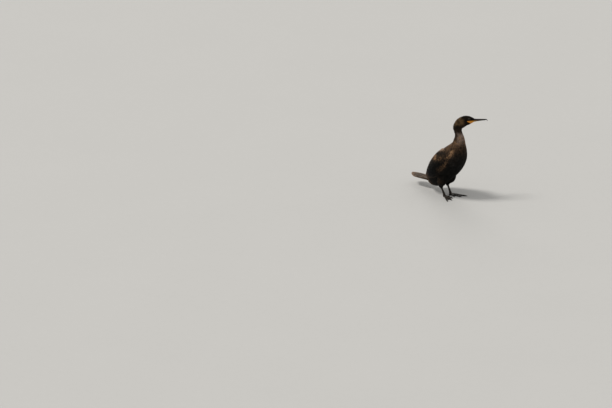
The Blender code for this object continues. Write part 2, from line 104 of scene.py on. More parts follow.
# Sections of the bill: share of its length and height over its start, then as the trunk's from the pitch on
UPPER_BILL = [
    (-0.11, -0.6, 0, 7.2, 8.0, 1.2),
    (0.00, 0.0, 0, 6.4, 7.2, 0.6),
    (0.16, 0.8, 0, 4.9, 5.9, 0.6),
    (0.35, 1.7, 0, 4.0, 4.7, 0.6),
    (0.62, 2.6, 0, 3.3, 3.5, 0.6),
    (0.83, 2.9, -2, 3.0, 3.2, 0.9),
    (0.94, 2.3, -25, 2.4, 2.6, 1.4),
    (1.00, -0.4, -62, 1.4, 1.5, 1.2),
    (1.01, -3.4, -82, 0.5, 0.6, 0.5),
]
LOWER_BILL = [
    (-0.11, -2.2, 0, 6.6, 1.8, 6.2),
    (0.00, -1.5, 0, 5.9, 1.5, 5.6),
    (0.20, -0.5, 0, 4.4, 1.5, 4.3),
    (0.45, 0.5, 0, 3.3, 1.5, 3.2),
    (0.70, 1.2, 0, 2.4, 1.3, 2.2),
    (0.86, 1.4, 2, 1.3, 1.0, 1.3),
]
# Sections of a wing: as the trunk's, then the angles of its upper and lower edge round from the mid back
WING = [
    (68, 0, 236, 0, 61, 49, 42, 48, 60, 118),
    (34, 0, 195, 0, 52, 70, 61, 66, 34, 127),
    (-6, 0, 153, 0, 49, 72, 65, 66, 20, 127),
    (-46, 0, 112, 0, 47, 67, 61, 58, 14, 118),
    (-86, 0, 80, 0, 40, 53, 46, 44, 12, 100),
    (-120, 0, 66, 0, 22, 35, 30, 26, 14, 84),
    (-150, 0, 62, 0, 8, 23, 15, 10, 22, 72),
]
TAIL_ROOT = [
    (-122, 0, 48, 0, 10, 20, 15, 15),
    (-138, 0, 46, 0, 0, 19, 8.0, 8.0),
    (-154, 0, 46, 0, 0, 20, 3.8, 3.8),
    (-174, 0, 46, 0, 0, 23, 2.6, 2.6),
    (-204, 0, 46, 0, 0, 27, 2.2, 2.2),
]
# How far the folded wing's surface sinks at its bend, its upper edge and its lower edge
BEND_SINK, UPPER_EDGE_SINK, LOWER_EDGE_SINK = 11.0, 5.5, 4.0
# The last station of a folded wing's flesh, and of its feathers' tips
FLESH_END, TIP_END = 4.7, 6.03
TAIL_FEATHERS, TAIL_LENGTH, TAIL_HALF_WIDTH = 12, 131, 7.3
# Where the tail feathers start: x, greatest y and middle height; then the degrees their outermost turn out
TAIL_START, TAIL_SPREAD = (-136.0, 14.0, 46.3), 8.0
# Where the toes of each foot meet; then the heel's way back from there, its height and the share that is bare
FEET = {"right": (4.0, -23.0, 8.0), "left": (-13.0, 23.0, 8.0)}
HEEL_BACK, HEEL_HEIGHT, BARE_LEG = 29.0, 50.0, 0.75
# Degrees the outer toe's side is turned out, then each toe's length and its turn inwards from there
TOE_TURN = 12.0
TOES = [(84.0, -15.0), (71.0, 4.0), (50.0, 26.0), (25.0, 62.0)]
# Degrees a claw dips at its toe's end, and its rings: share of the toe's length, radius and height
CLAW_DIP = -55
CLAW_RINGS = [(0.87, 1.5, 2.6), (0.92, 1.55, 2.9), (0.96, 1.2, 2.5), (0.99, 0.7, 1.5), (1.005, 0.2, 0.5)]
EYE_ALONG, EYE_HEIGHT, EYE_OUT, EYE_RADIUS = 92.0, 377.6, 8.6, 5.2
# The eye's gaze: along the head, up and out
EYE_GAZE = (5.0, 5.0, 20.0)
# An eyelid's section: out from the opening, and up from the eyeball's height there
LID = [
    (-0.25, -0.5), (-0.1, 0.1), (0.2, 0.36), (0.6, 0.3), (1.1, -0.15), (1.9, -1.0), (2.9, -2.2), (3.8, -3.8),
]
# Colours out from the middle of the eye
IRIS = [
    (0.0, (0.002, 0.002, 0.002)), (0.235, (0.002, 0.002, 0.002)), (0.26, (0.020, 0.015, 0.009)),
    (0.42, (0.036, 0.027, 0.015)), (0.53, (0.010, 0.008, 0.006)), (1.0, (0.006, 0.005, 0.004)),
]
# How close to the eye's middle feathers grow, and how far into the bare skin
LID_REACH, BARE_REACH = 4.7, 0.8
# The body's station where the forehead's feathers meet the bill
FOREHEAD_END = 18.78
# The height of the mouth line at the bill's root, its slope, and how far the throat's folds rise
MOUTH_HEIGHT, MOUTH_SLOPE, FOLD_HEIGHT = 370.0, -0.02, 0.22
# How deep the groove along the upper bill is, and the seam of its nail
GROOVE_DEPTH, NAIL_DEPTH = 0.42, 0.16
# The border of the bare skin of gape and throat on the head's side: along, height
BARE_BORDER = [
    (132, 371.4), (116, 371.0), (104, 371.6), (95, 372.2), (87, 372.0), (83.0, 370.2), (82.6, 367.2),
    (86, 364.2), (93, 359.8), (101, 352.6), (107, 344.0), (110, 334.0), (132, 334.0),
]
# The camera: degrees round and up, lens and sensor in millimetres, then metres off, to the left and down
AZIMUTH, ELEVATION = 54, 17
LENS, SENSOR = 500.0, 36.0
DISTANCE, VIEW_LEFT, VIEW_DOWN = 38.25, 0.639, 0.03825
# The floor's half width in metres, its colour, and the sky's colour and strength
FLOOR_REACH, FLOOR_GREY = 60.0, (0.43, 0.432, 0.43)
SKY_COLOUR, SKY_STRENGTH = (1.0, 0.987, 0.955, 1.0), 0.59


# Surfaces of the body, in millimetres


def smooth(value, low, high):
    """A share that eases from none at low to all at high."""
    t = np.clip((value - low) / (high - low), 0.0, 1.0)
    return t * t * (3 - 2 * t)


def curve_rows(keys, at):
    """Rows on the smooth curve through the given rows, at fractional row numbers."""
    keys = np.asarray(keys, float)
    at = np.clip(np.asarray(at, float), 0.0, len(keys) - 1.0001)
    i = at.astype(int)
    t = (at - i)[:, None]
    a, b = keys[np.maximum(i - 1, 0)], keys[i]
    c, d = keys[i + 1], keys[np.minimum(i + 2, len(keys) - 1)]
    cubic = -a + 3 * b - 3 * c + d
    return 0.5 * (2 * b + (c - a) * t + (2 * a - 5 * b + 4 * c - d) * t**2 + cubic * t**3)


def section_point(rows, angle, grow=0.0, side=1.0):
    """Points of sections at angles round from the back, in the row frame, in millimetres."""
    h, p = np.radians(rows[:, 3]), np.radians(rows[:, 4])
    left = np.stack([-np.sin(h), np.cos(h), 0 * h], 1)
    along = np.stack([np.cos(p) * np.cos(h), np.cos(p) * np.sin(h), np.sin(p)], 1)
    back = np.cross(along, left)
    height = np.where(np.cos(angle) > 0, rows[:, 6], rows[:, 7]) + grow
    out = left * (side * (rows[:, 5] + grow) * np.sin(angle))[:, None]
    return rows[:, :3] + out + back * (height * np.cos(angle))[:, None] + SHIFT


class Sweep:
    """A surface through sections; u is an angle round the back, or on a wing a share down from its edge."""

    def __init__(self, rows, side=1.0, wing=False):
        self.rows, self.side, self.wing = np.array(rows, float), side, wing

    def place(self, s, u, grow=0.0):
        rows = curve_rows(self.rows, s)
        angle = u
        if self.wing:
            angle = np.radians(rows[:, 8] + (rows[:, 9] - rows[:, 8]) * u)
            # the bend of the wing and its edges ease into the breast, back and flank
            edge = UPPER_EDGE_SINK * smooth(-u, -0.26, 0.0) + LOWER_EDGE_SINK * smooth(u, 0.8, 1.05)
            grow = grow - BEND_SINK * (1 - smooth(s, -0.1, 1.15)) - edge * (1 - smooth(s, 3.4, 4.8))
        return section_point(rows, angle, grow, self.side)

    def steps(self, s, u, reach=0.01):
        """Millimetres per unit of s and of u, and the direction outwards."""
        s = np.clip(s, 0.02, len(self.rows) - 1.02)
        ds = (self.place(s + reach, u) - self.place(s - reach, u)) / (2 * reach)
        du = (self.place(s, u + reach) - self.place(s, u - reach)) / (2 * reach)
        out = np.cross(du, ds)
        out /= np.linalg.norm(out, axis=1)[:, None] + 1e-9
        away = self.place(s, u, 1.0) - self.place(s, u)
        out *= np.sign(np.sum(out * away, 1))[:, None]
        return np.linalg.norm(ds, axis=1), np.linalg.norm(du, axis=1), out

    def beyond(self, s, u, reach=0.08):
        """The surface's place, carried on straight past its first and last section."""
        last = len(self.rows) - 1
        inside = np.clip(s, 0.0, last)
        base = self.place(inside, u)
        near = self.place(np.clip(s, reach, last - reach), u)
        return base + (base - near) / reach * np.abs(s - inside)[:, None]


def head_place(along, height, out=0.0):
    """A design place from how far it lies along the head, how high, and how far out to the head's left."""
    turn = math.radians(HEAD_TURN)
    forward = Vector((math.cos(turn), math.sin(turn), 0.0))
    left = Vector((-forward.y, forward.x, 0.0))
    return Vector((PIVOT_X, 0.0, height)) + forward * (along - PIVOT_ALONG) + left * out


def head_coordinates(p):
    """Along, height and distance out to the head's left, of design places."""
    turn = math.radians(HEAD_TURN)
    x, y = p[:, 0] - PIVOT_X, p[:, 1]
    along = x * math.cos(turn) + y * math.sin(turn) + PIVOT_ALONG
    return along, p[:, 2], -x * math.sin(turn) + y * math.cos(turn)


def trunk_coordinates(p):
    """Share of the trunk's length, and distance out to the belly from its middle line, of design places."""
    x, z = p[:, 0] - TRUNK_START[0], p[:, 2] - TRUNK_START[1]
    up = (x * TRUNK_WAY[0] + z * TRUNK_WAY[1]) / TRUNK_LENGTH
    return up, x * TRUNK_WAY[1] - z * TRUNK_WAY[0]


def head_rows(rows):
    return [(*head_place(along, height), HEAD_TURN, *rest) for along, height, *rest in rows]


def bill_rows(rows):
    shares = [(BILL_ROOT + BILL_LENGTH * share, BILL_HEIGHT + over, *rest) for share, over, *rest in rows]
    return head_rows(shares)


def leg_rows(name):
    """Sections of a thigh from the flank down to where the feathers end."""
    foot = Vector(FEET[name])
    side = 1 if foot.y > 0 else -1
    heel = Vector((foot.x - HEEL_BACK, foot.y + side * 1.5, HEEL_HEIGHT))
    lean = math.degrees(math.atan2(HEEL_HEIGHT - foot.z, -HEEL_BACK))
    return [
        (heel.x + 34, side * 25, heel.z + 54, 0, 62, 21, 26, 24),
        (heel.x + 23, side * 31, heel.z + 34, 0, 66, 21, 25, 26),
        (heel.x + 13, side * 31, heel.z + 15, 0, 72, 18, 19, 25),
        (heel.x + 5, heel.y + side * 2, heel.z, 0, 84, 13, 13, 17.5),
        (*foot.lerp(heel, BARE_LEG), 0, lean - 14, 8, 8.5, 9),
    ]


BODY = TRUNK + NECK + head_rows(HEAD)


def placed(point):
    """A design point in millimetres as a place in the row frame, in metres."""
    return (Vector(point) + Vector(SHIFT)) * MM


def border_distance(along, height):
    """Millimetres inside the bare skin's border, less than nothing outside it."""
    line = np.array(BARE_BORDER, float)
    p = np.stack([along, height], 1)
    best = np.full(len(p), 1e9)
    inside = np.zeros(len(p), bool)
    for a, b in zip(line, np.roll(line, -1, 0)):
        edge = b - a
        t = np.clip(((p - a) @ edge) / (edge @ edge), 0, 1)
        best = np.minimum(best, np.linalg.norm(p - a - t[:, None] * edge, axis=1))
        crosses = (a[1] > p[:, 1]) != (b[1] > p[:, 1])
        with np.errstate(divide="ignore", invalid="ignore"):
            meet = a[0] + (p[:, 1] - a[1]) / (b[1] - a[1]) * edge[0]
        inside ^= crosses & (p[:, 0] < meet)
    return np.where(inside, best, -best)


# Meshes


def add_object(name, mesh, made, smooth_shade=True):
    obj = bpy.data.objects.new(name, mesh)
    bpy.context.scene.collection.objects.link(obj)
    mesh.materials.clear()
    mesh.materials.append(made)
    mesh.polygons.foreach_set("use_smooth", [smooth_shade] * len(mesh.polygons))
    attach(obj, "root")
    return obj


def from_bmesh(name, bm, made, smooth_shade=True):
    mesh = bpy.data.meshes.new(name)
    bm.to_mesh(mesh)
    bm.free()
    return add_object(name, mesh, made, smooth_shade)


def applied(obj):
    """Turns an object's modifiers into its mesh."""
    graph = bpy.context.evaluated_depsgraph_get()
    made = obj.data.materials[0]
    mesh = bpy.data.meshes.new_from_object(obj.evaluated_get(graph))
    obj.modifiers.clear()
    old = obj.data
    obj.data = mesh
    bpy.data.meshes.remove(old)
    mesh.materials.clear()
    mesh.materials.append(made)
    mesh.polygons.foreach_set("use_smooth", [True] * len(mesh.polygons))


def remeshed(obj, step, rounds, grow, sink):
    """Closes an object's pieces into one smooth shell, sunk below where they were."""
    grown = obj.modifiers.new("close", "DISPLACE")
    grown.strength, grown.mid_level = grow, 0.0
    whole = obj.modifiers.new("whole", "REMESH")
    whole.mode, whole.voxel_size, whole.use_smooth_shade = "VOXEL", step, True
    soft = obj.modifiers.new("soft", "SMOOTH")
    soft.factor, soft.iterations = 0.5, rounds
    if sink + grow:
        sunk = obj.modifiers.new("sunk", "DISPLACE")
        sunk.strength, sunk.mid_level = -sink - grow, 0.0
    applied(obj)


def node_copy(names):
    """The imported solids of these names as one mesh, each point once."""
    bm = bmesh.new()
    for name in names:
        bm.from_mesh(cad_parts[name].data)
    bmesh.ops.remove_doubles(bm, verts=bm.verts, dist=1e-6)
    return bm


def tube(bm, rings):
    """A closed tube through rings of places in millimetres: bridged circles, capped at both ends."""
    loops = []
    for spots in rings:
        loop = bmesh.ops.create_circle(bm, cap_ends=False, segments=len(spots), radius=1.0)["verts"]
        for vert, spot in zip(loop, spots):
            vert.co = Vector(spot) * MM
        loops.append(loop)
    # a dictionary keeps the edges in one order from run to run
    edges_of = [list(dict.fromkeys(e for v in loop for e in v.link_edges)) for loop in loops]
    for low, high in zip(edges_of, edges_of[1:]):
        bmesh.ops.bridge_loops(bm, edges=low + high)
    for edges in (edges_of[0], edges_of[-1]):
        bmesh.ops.contextual_create(bm, geom=edges)
    bmesh.ops.recalc_face_normals(bm, faces=bm.faces)


def rings_of(rows, count, steps):
    at = np.linspace(0, len(rows) - 1, (len(rows) - 1) * steps + 1)
    turns = np.arange(count) * 2 * math.pi / count
    return [section_point(np.repeat(curve_rows(rows, [s]), count, 0), turns) for s in at]


def wing_rings(side, count=14, sink=2.0):
    """Closed rings of a folded wing's flesh: its outer arc, and the inner arc back again."""
    surface = Sweep(WING, side, True)
    rings = []
    for s in np.linspace(0.0, FLESH_END, 14):
        u = np.linspace(0.03, 0.97 - 0.25 * s / FLESH_END, count)
        thick = np.interp(s, [0, 3.2, FLESH_END], [15.0, 13.0, 3.5])
        outer = surface.place(np.full(count, s), u, -sink)
        inner = surface.place(np.full(count, s), u[::-1], -thick)
        rings.append(np.concatenate([outer, inner]))
    return rings


def vertex_values(mesh, name):
    """Three numbers of each vertex, such as its place or its normal."""
    values = np.empty(len(mesh.vertices) * 3, np.float32)
    mesh.vertices.foreach_get(name, values)
    return values.reshape(-1, 3).astype(float)


def design_places(mesh):
    return vertex_values(mesh, "co") / MM - SHIFT


def move_points(mesh, p):
    """Moves a mesh's vertices to design places."""
    mesh.vertices.foreach_set("co", ((p + SHIFT) * MM).astype(np.float32).ravel())


def colour_points(mesh, name, colour):
    values = np.concatenate([colour, np.ones((len(colour), 1))], 1)
    mesh.attributes.new(name, "FLOAT_COLOR", "POINT").data.foreach_set("color", values.ravel())


def value_points(mesh, name, values):
    data = mesh.attributes.new(name, "FLOAT", "POINT").data
    data.foreach_set("value", np.asarray(values, float).ravel())


# Materials


def node(tree, kind, **values):
    made = tree.nodes.new(kind)
    for name, value in values.items():
        setattr(made, name, value)
    return made


def join_sockets(tree, pairs):
    for socket, value in pairs:
        if isinstance(value, (int, float)):
            socket.default_value = value
        elif isinstance(value, (tuple, list)):
            socket.default_value = (*value[:3], 1.0)
        elif value is not None:
            tree.links.new(value, socket)


def calc(tree, operation, first, second=None):
    made = node(tree, "ShaderNodeMath", operation=operation)
    join_sockets(tree, zip(made.inputs, (first, second)))
    return made.outputs[0]


def maths(tree, *operations):
    """A short call for each of these operations in a node tree."""
    return [functools.partial(calc, tree, operation) for operation in operations]


def scaled(tree, colour, factor):
    made = node(tree, "ShaderNodeVectorMath", operation="SCALE")
    join_sockets(tree, ((made.inputs[0], colour), (made.inputs["Scale"], factor)))
    return made.outputs[0]


def mix_colour(tree, factor, first, second, blend_type="MIX"):
    made = node(tree, "ShaderNodeMix", data_type="RGBA", blend_type=blend_type)
    join_sockets(tree, ((made.inputs[0], factor), (made.inputs[6], first), (made.inputs[7], second)))
    return made.outputs[2]


def texture(tree, kind, scale, **values):
    """A texture on object coordinates."""
    made = node(tree, kind, **values)
    made.inputs["Scale"].default_value = scale
    tree.links.new(node(tree, "ShaderNodeTexCoord").outputs["Object"], made.inputs["Vector"])
    return made


def attribute(tree, name, output="Color"):
    return node(tree, "ShaderNodeAttribute", attribute_name=name).outputs[output]


def new_material(name, roughness, specular):
    made = bpy.data.materials.new(name)
    made.use_nodes = True
    shader = made.node_tree.nodes["Principled BSDF"]
    shader.inputs["Roughness"].default_value = roughness
    shader.inputs["Specular IOR Level"].default_value = specular
    return made, made.node_tree, shader


def bump(tree, shader, height, distance, strength=0.6):
    made = node(tree, "ShaderNodeBump")
    made.inputs["Strength"].default_value = strength
    made.inputs["Distance"].default_value = distance
    tree.links.new(height, made.inputs["Height"])
    tree.links.new(made.outputs["Normal"], shader.inputs["Normal"])


def new_group(name, inputs, outputs):
    tree = bpy.data.node_groups.new(name, "ShaderNodeTree")
    for way, sockets in (("INPUT", inputs), ("OUTPUT", outputs)):
        for label, kind in sockets:
            tree.interface.new_socket(label, in_out=way, socket_type="NodeSocket" + kind)
    return tree, node(tree, "NodeGroupInput"), node(tree, "NodeGroupOutput")


def use_group(tree, group, **values):
    made = node(tree, "ShaderNodeGroup", node_tree=group)
    join_sockets(tree, ((made.inputs[name.replace("_", " ")], value) for name, value in values.items()))
    return made


def vane_group():
    """Barbs, shaft and worn edge of one feather, from its own flat map: u across, v from root to tip."""
    if "feather vane" in bpy.data.node_groups:
        return bpy.data.node_groups["feather vane"]
    inputs = [("Tint", "Color"), ("Fringe", "Float"), ("Barbs", "Float"), ("Fringe Colour", "Color")]
    tree, given, out = new_group("feather vane", inputs, [("Colour", "Color"), ("Height", "Float")])
    split = node(tree, "ShaderNodeSeparateXYZ")
    tree.links.new(node(tree, "ShaderNodeUVMap", uv_map="vane").outputs[0], split.inputs[0])
    u, v = split.outputs[0], split.outputs[1]
    add, less, times, power = maths(tree, "ADD", "SUBTRACT", "MULTIPLY", "POWER")
    barb_rows, barb_slant, shaft_half, shaft_end = 22.0, -17.0, 0.03, 0.93
    side = calc(tree, "ABSOLUTE", less(u, 0.5))
    frayed = texture(tree, "ShaderNodeTexNoise", 900.0)
    fray = times(less(frayed.outputs["Fac"], 0.5), 0.35)
    slant = add(add(times(v, barb_rows), times(side, barb_slant)), fray)
    barbs = calc(tree, "ABSOLUTE", less(calc(tree, "FRACT", slant), 0.5))
    shaft = times(calc(tree, "LESS_THAN", side, shaft_half), calc(tree, "LESS_THAN", v, shaft_end))
    rim = power(add(times(side, 2.0), times(fray, 0.4)), 5.0)
    tip = power(add(v, times(fray, 0.3)), 9.0)
    edge = calc(tree, "MAXIMUM", times(rim, power(v, 1.5)), tip)
    edge = times(calc(tree, "MINIMUM", times(edge, 1.2), 1.0), given.outputs["Fringe"])
    tone = less(less(1.12, times(barbs, given.outputs["Barbs"])), times(shaft, 0.3))
    tinted = scaled(tree, given.outputs["Tint"], tone)
    colour = mix_colour(tree, edge, tinted, given.outputs["Fringe Colour"])
    tree.links.new(colour, out.inputs["Colour"])
    tree.links.new(add(times(shaft, 0.9), times(barbs, 0.6)), out.inputs["Height"])
    return tree


def mottle_group():
    """Uneven tone over a surface, as of wear, dust and growth, at two sizes."""
    if "uneven tone" in bpy.data.node_groups:
        return bpy.data.node_groups["uneven tone"]
    inputs = [("Base", "Color"), ("Amount", "Float"), ("Coarse", "Float"), ("Fine", "Float")]
    tree, given, out = new_group("uneven tone", inputs, [("Colour", "Color"), ("Value", "Float")])
    add, less, times = maths(tree, "ADD", "SUBTRACT", "MULTIPLY")
    parts = []
    for label in ("Coarse", "Fine"):
        grain = texture(tree, "ShaderNodeTexNoise", 1.0)
        grain.inputs["Detail"].default_value = 4.0
        tree.links.new(given.outputs[label], grain.inputs["Scale"])
        parts.append(grain.outputs["Fac"])
    value = times(add(*parts), 0.5)
    spread = times(less(value, 0.5), given.outputs["Amount"])
    tree.links.new(scaled(tree, given.outputs["Base"], add(spread, 1.0)), out.inputs["Colour"])
    tree.links.new(value, out.inputs["Value"])
    return tree


def uneven(tree, base, amount, coarse, fine):
    """Uneven tone over a base colour, at a coarse and a fine scale."""
    return use_group(tree, mottle_group(), Base=base, Amount=amount, Coarse=coarse, Fine=fine)


def uneven_material(name, roughness, specular, base, *unevenness):
    """A material with a base colour, or with a mesh's own tint where that is None, and its uneven tone."""
    made, tree, shader = new_material(name, roughness, specular)
    tone = uneven(tree, base or attribute(tree, "tint"), *unevenness)
    tree.links.new(tone.outputs["Colour"], shader.inputs["Base Color"])
    return made, tree, shader, tone


def feather_material(name, barbs, roughness, fringe):
    made, tree, shader = new_material(name, roughness, 0.05)
    tint, pale = attribute(tree, "tint"), attribute(tree, "fringe", "Fac")
    vane = use_group(tree, vane_group(), Tint=tint, Fringe=pale, Barbs=barbs, Fringe_Colour=fringe)
    tone = uneven(tree, vane.outputs["Colour"], 1.5, 45.0, 380.0)
    tree.links.new(tone.outputs["Colour"], shader.inputs["Base Color"])
    bump(tree, shader, vane.outputs["Height"], 0.00035)
    return made


# Plumage


def blend(base, other, amount):
    """Colours part of the way to another one."""
    return base + (np.array(other) - base) * amount[:, None]


def plumage(points):
    """Base colour of feathers and of the skin under them, partly painted shade and highlight, at places in the
    row frame, in metres.
    """
    p = points / MM - SHIFT
    x, z = p[:, 0], p[:, 2]
    up, front = trunk_coordinates(p)
    along, height, _ = head_coordinates(p)
    head = smooth(z, HEAD_FOOT, 345)
    axis = np.interp(z, [262, 281, 295, 309, 321], [80, 82, 82.6, 77.4, 71])
    foreneck = smooth(z, 257, 303) * smooth(-z, -326, -306) * smooth(x - axis, 6, 19)
    tone = np.tile((0.032, 0.0195, 0.0118), (len(p), 1))
    # flank, belly, breast and rump; the neck, its middle and its paler front; the head's back, face and crown
    for other, amount in (
        # the flank and belly are darker partly from their own dark feathers and partly as painted shade on the
        # underside
        ((0.0085, 0.0062, 0.0045), smooth(front, -34, -4)),
        ((0.0034, 0.0030, 0.0025), smooth(front, 0, 30)),
        ((0.0062, 0.0060, 0.0056), smooth(front, 5, 30) * smooth(up, 0.66, 0.85)),
        ((0.034, 0.022, 0.012), smooth(-up, -0.2, -0.06) * 0.8),
        ((0.018, 0.0118, 0.0080), smooth(z, 206, 254)),
        ((0.0125, 0.0088, 0.0062), smooth(z, 290, 312)),
        ((0.150, 0.123, 0.112), foreneck),
        # the head's back is paler partly as a painted highlight, and the face and crown are darker partly as
        # painted shade
        ((0.064, 0.039, 0.0185), smooth(z, 344, 362) * smooth(-along, -82, -64)),
        ((0.0050, 0.0040, 0.0032), head * smooth(along, 70, 88)),
        ((0.0048, 0.0038, 0.0026), head * smooth(height, 374, 384) * smooth(along, 50, 68)),
    ):
        tone = blend(tone, other, amount)
    patches = np.array([noise.noise(Vector(place)) for place in p / 13.0])
    return tone * (1 + 0.9 * patches)[:, None]


# The spots' fringe and tan are partly real wear and partly painted highlight; their darkening is partly painted
# shade.
# Spots on a wing: along, across, reach of both, then what they add of fringe and of tan, and darkening
WING_FRINGES_AND_PAINTED_LIGHT = [
    (0.20, 0.88, 0.42, 0.17, 1.0, 0.95, 0.0),
    (0.50, 0.10, 0.45, 0.17, 0.35, 0.12, 0.3),
    (1.00, 0.00, 0.30, 0.12, 0.8, 0.60, 0.0),
    (1.05, 0.58, 0.24, 0.12, 0.5, 0.25, 0.0),
    (1.62, 0.36, 0.24, 0.11, 1.0, 0.80, 0.0),
    (2.15, 0.18, 0.32, 0.11, 1.0, 1.00, 0.0),
    (2.80, 0.14, 0.50, 0.09, 0.9, 0.80, 0.0),
    (1.25, 0.93, 0.30, 0.06, 0.6, 0.15, 0.0),
    (1.75, 0.90, 0.45, 0.09, 0.3, 0.12, 0.0),
    (1.55, 0.84, 0.50, 0.22, -0.1, 0.0, 0.50),
    (0.86, 0.55, 0.36, 0.26, -0.1, 0.0, 0.74),
    (1.20, 0.27, 0.34, 0.12, -0.2, 0.0, 0.75),
    (1.70, 0.08, 0.26, 0.13, -0.2, 0.0, 0.85),
    (2.55, 0.34, 0.55, 0.08, -0.2, 0.0, 0.55),
    (2.80, 0.68, 1.25, 0.36, -0.2, 0.0, 0.88),
    (4.60, 0.60, 0.80, 0.50, 0.0, 0.0, 0.55),
]
# As on a wing, their fringe and tan are partly real wear and partly painted highlight, their darkening partly
# painted shade.
# Spots on the body: station, degrees off the back, reach of both, then what they add and darken as on a wing
BODY_FRINGES_AND_PAINTED_LIGHT = [
    (7.4, 0, 1.3, 50, 0.22, 0.03, 0.5),
    (8.6, 60, 0.7, 45, 0.4, 0.15, 0.15),
    (9.8, 110, 0.7, 50, 0.5, 0.25, 0.0),
    (8.0, 112, 0.45, 9, 0.9, 0.80, 0.0),
    (11.0, 150, 1.2, 30, 0.5, 0.45, 0.0),
    (1.0, 100, 0.9, 60, 0.4, 0.25, 0.0),
    (5.0, 0, 2.4, 20, 0.5, 0.15, 0.0),
    (4.0, 180, 3.0, 60, -0.15, 0.0, 0.0),
]


def lights(table, s, u, scale=1.0):
    """The fringe added, the share of tan and what is left of the tone, partly painted highlight and shade, at
    places on a surface.
    """
    fringe, tan, left = np.zeros(len(s)), np.zeros(len(s)), np.ones(len(s))
    for at_s, at_u, reach_s, reach_u, fringe_and_highlight, share, dark in table:
        near = np.exp(-(((s - at_s) / reach_s) ** 2) - ((np.abs(u) * scale - at_u) / reach_u) ** 2)
        fringe += fringe_and_highlight * near
        tan += share * near
        left *= 1 - dark * near
    return fringe, np.clip(tan, 0, 0.95), left


def vane_prototype(along, across):
    """A flat vane as a grid: its places across and along, and its faces."""
    bm = bmesh.new()
    bmesh.ops.create_grid(bm, x_segments=across, y_segments=len(along) - 1, size=1.0)
    bm.verts.index_update()
    rows = sorted({round(v.co.y, 4) for v in bm.verts})
    x = np.array([v.co.x for v in bm.verts])
    t = np.array([along[rows.index(round(v.co.y, 4))] for v in bm.verts])
    faces = np.array([[v.index for v in f.verts] for f in bm.faces])
    bm.free()
    return x, t, faces


# Where the rows of a vane's grid lie along it
GRIDS = {
    "pointed": (0.0, 0.4, 0.75, 1.0),
    "rounded": (0.0, 0.35, 0.65, 0.85, 0.95, 1.0),
    "long": (0.0, 0.2, 0.4, 0.6, 0.78, 0.9, 0.97, 1.0),
}
# Half width along a vane as shares of its widest
OUTLINES = {
    "pointed": ([0.0, 0.4, 0.75, 1.0], [0.55, 1.0, 0.72, 0.10]),
    "rounded": ([0.0, 0.35, 0.65, 0.85, 0.95, 1.0], [0.45, 0.88, 1.0, 0.86, 0.58, 0.22]),
    "long": ([0.0, 0.2, 0.6, 0.85, 0.94, 1.0], [0.5, 0.85, 1.0, 0.9, 0.62, 0.2]),
}
# What worn feathers bleach to, also the colour of the painted highlights
TAN = np.array((0.250, 0.145, 0.078))
# The width of a vane's patch in the baked map
PATCH = 0.003
# A full ring round the body: its first and last angle, and that they meet
ALL_ROUND = (-math.pi, math.pi, True)
# Degrees in a radian, as the spots on the body are placed
DEGREES = 57.3
# The way from row to row, as a share of a feather's length
ROW_STEP = 0.40
ROOT_FIELDS = ("s", "u", "turn", "length", "half", "depth", "lift", "roll", "fringe", "tone", "tan")


def root_table(count, **values):
    """A table of vanes' roots, with a row for each vane of every field."""
    return {name: np.broadcast_to(np.asarray(values[name], float), (count,)).copy() for name in ROOT_FIELDS}


def joined(tables):
    return {name: np.concatenate([t[name] for t in tables]) for name in ROOT_FIELDS}


def kept(table, keep):
    return {name: values[keep] for name, values in table.items()}


def vane_mesh(name, points, prototype, homes):
    """A mesh of like vanes at these places, with one map over each vane and another with a patch for each."""
    x, t, faces = prototype
    count, size = len(homes), len(x)
    all_faces = (faces[None] + (np.arange(count) * size)[:, None, None]).reshape(-1, 4)
    mesh = bpy.data.meshes.new(name)
    mesh.from_pydata(points.tolist(), [], all_faces.tolist())
    loops = all_faces.ravel()
    vane = np.tile(np.stack([(x + 1) / 2, t], 1), (count, 1))[loops]
    patches = homes.repeat(size, 0)[loops] + vane * PATCH
    for layer, places in (("vane", vane), ("OFBake", patches)):
        mesh.uv_layers.new(name=layer).uv.foreach_set("vector", places.ravel())
    return mesh


def feathers(name, surface, roots, made, sign, across, shape, camber, corner):
    """One mesh of vanes laid along a surface from their roots; sign is the way of s from root to tip."""
    x, t, faces = vane_prototype(GRIDS[shape], across)
    if surface.side < 0:
        # the right side mirrors the left, so its faces turn round to point outwards too
        faces = faces[:, ::-1]
    column = {key: values[:, None] for key, values in roots.items()}
    ds, du, _ = surface.steps(roots["s"], roots["u"])
    far = column["length"] * t[None, :]
    wide = column["half"] * np.interp(t, *OUTLINES[shape])[None, :] * x[None, :]
    cos, sin = np.cos(column["turn"]), np.sin(column["turn"])
    s = (column["s"] + sign * (far * cos - wide * sin) / ds[:, None]).ravel()
    u = (column["u"] + (far * sin + wide * cos) / du[:, None]).ravel()
    height = -column["depth"] + (column["depth"] + column["lift"]) * t[None, :] ** 0.8
    height = height + (column["roll"] * x[None, :] - camber * x[None, :] ** 2) * column["half"]
    out = surface.steps(s, u)[2]
    points = (surface.beyond(s, u) + out * height.ravel()[:, None]) * MM
    spread = 0.16 if surface.wing else 0.055
    homes = np.stack([corner[0] + roots["s"] * 0.045, corner[1] + roots["u"] * spread], 1)
    mesh = vane_mesh(name, points, (x, t, faces), homes)
    # the tint carries the plumage's painted shade and highlight, and the spots' tan and darkening
    tint = plumage(surface.place(roots["s"], roots["u"]) * MM)
    tint = (tint + (TAN - tint) * column["tan"]) * column["tone"]
    colour_points(mesh, "tint", tint.repeat(len(x), 0))
    value_points(mesh, "fringe", roots["fringe"].repeat(len(x)))
    add_object(name, mesh, made)


def growing(length, longer, half, wider, least=-math.inf):
    """The length and half width of feathers that change along a surface, from a least station on."""
    return lambda s: (length + longer * max(s, least), half + wider * max(s, least))


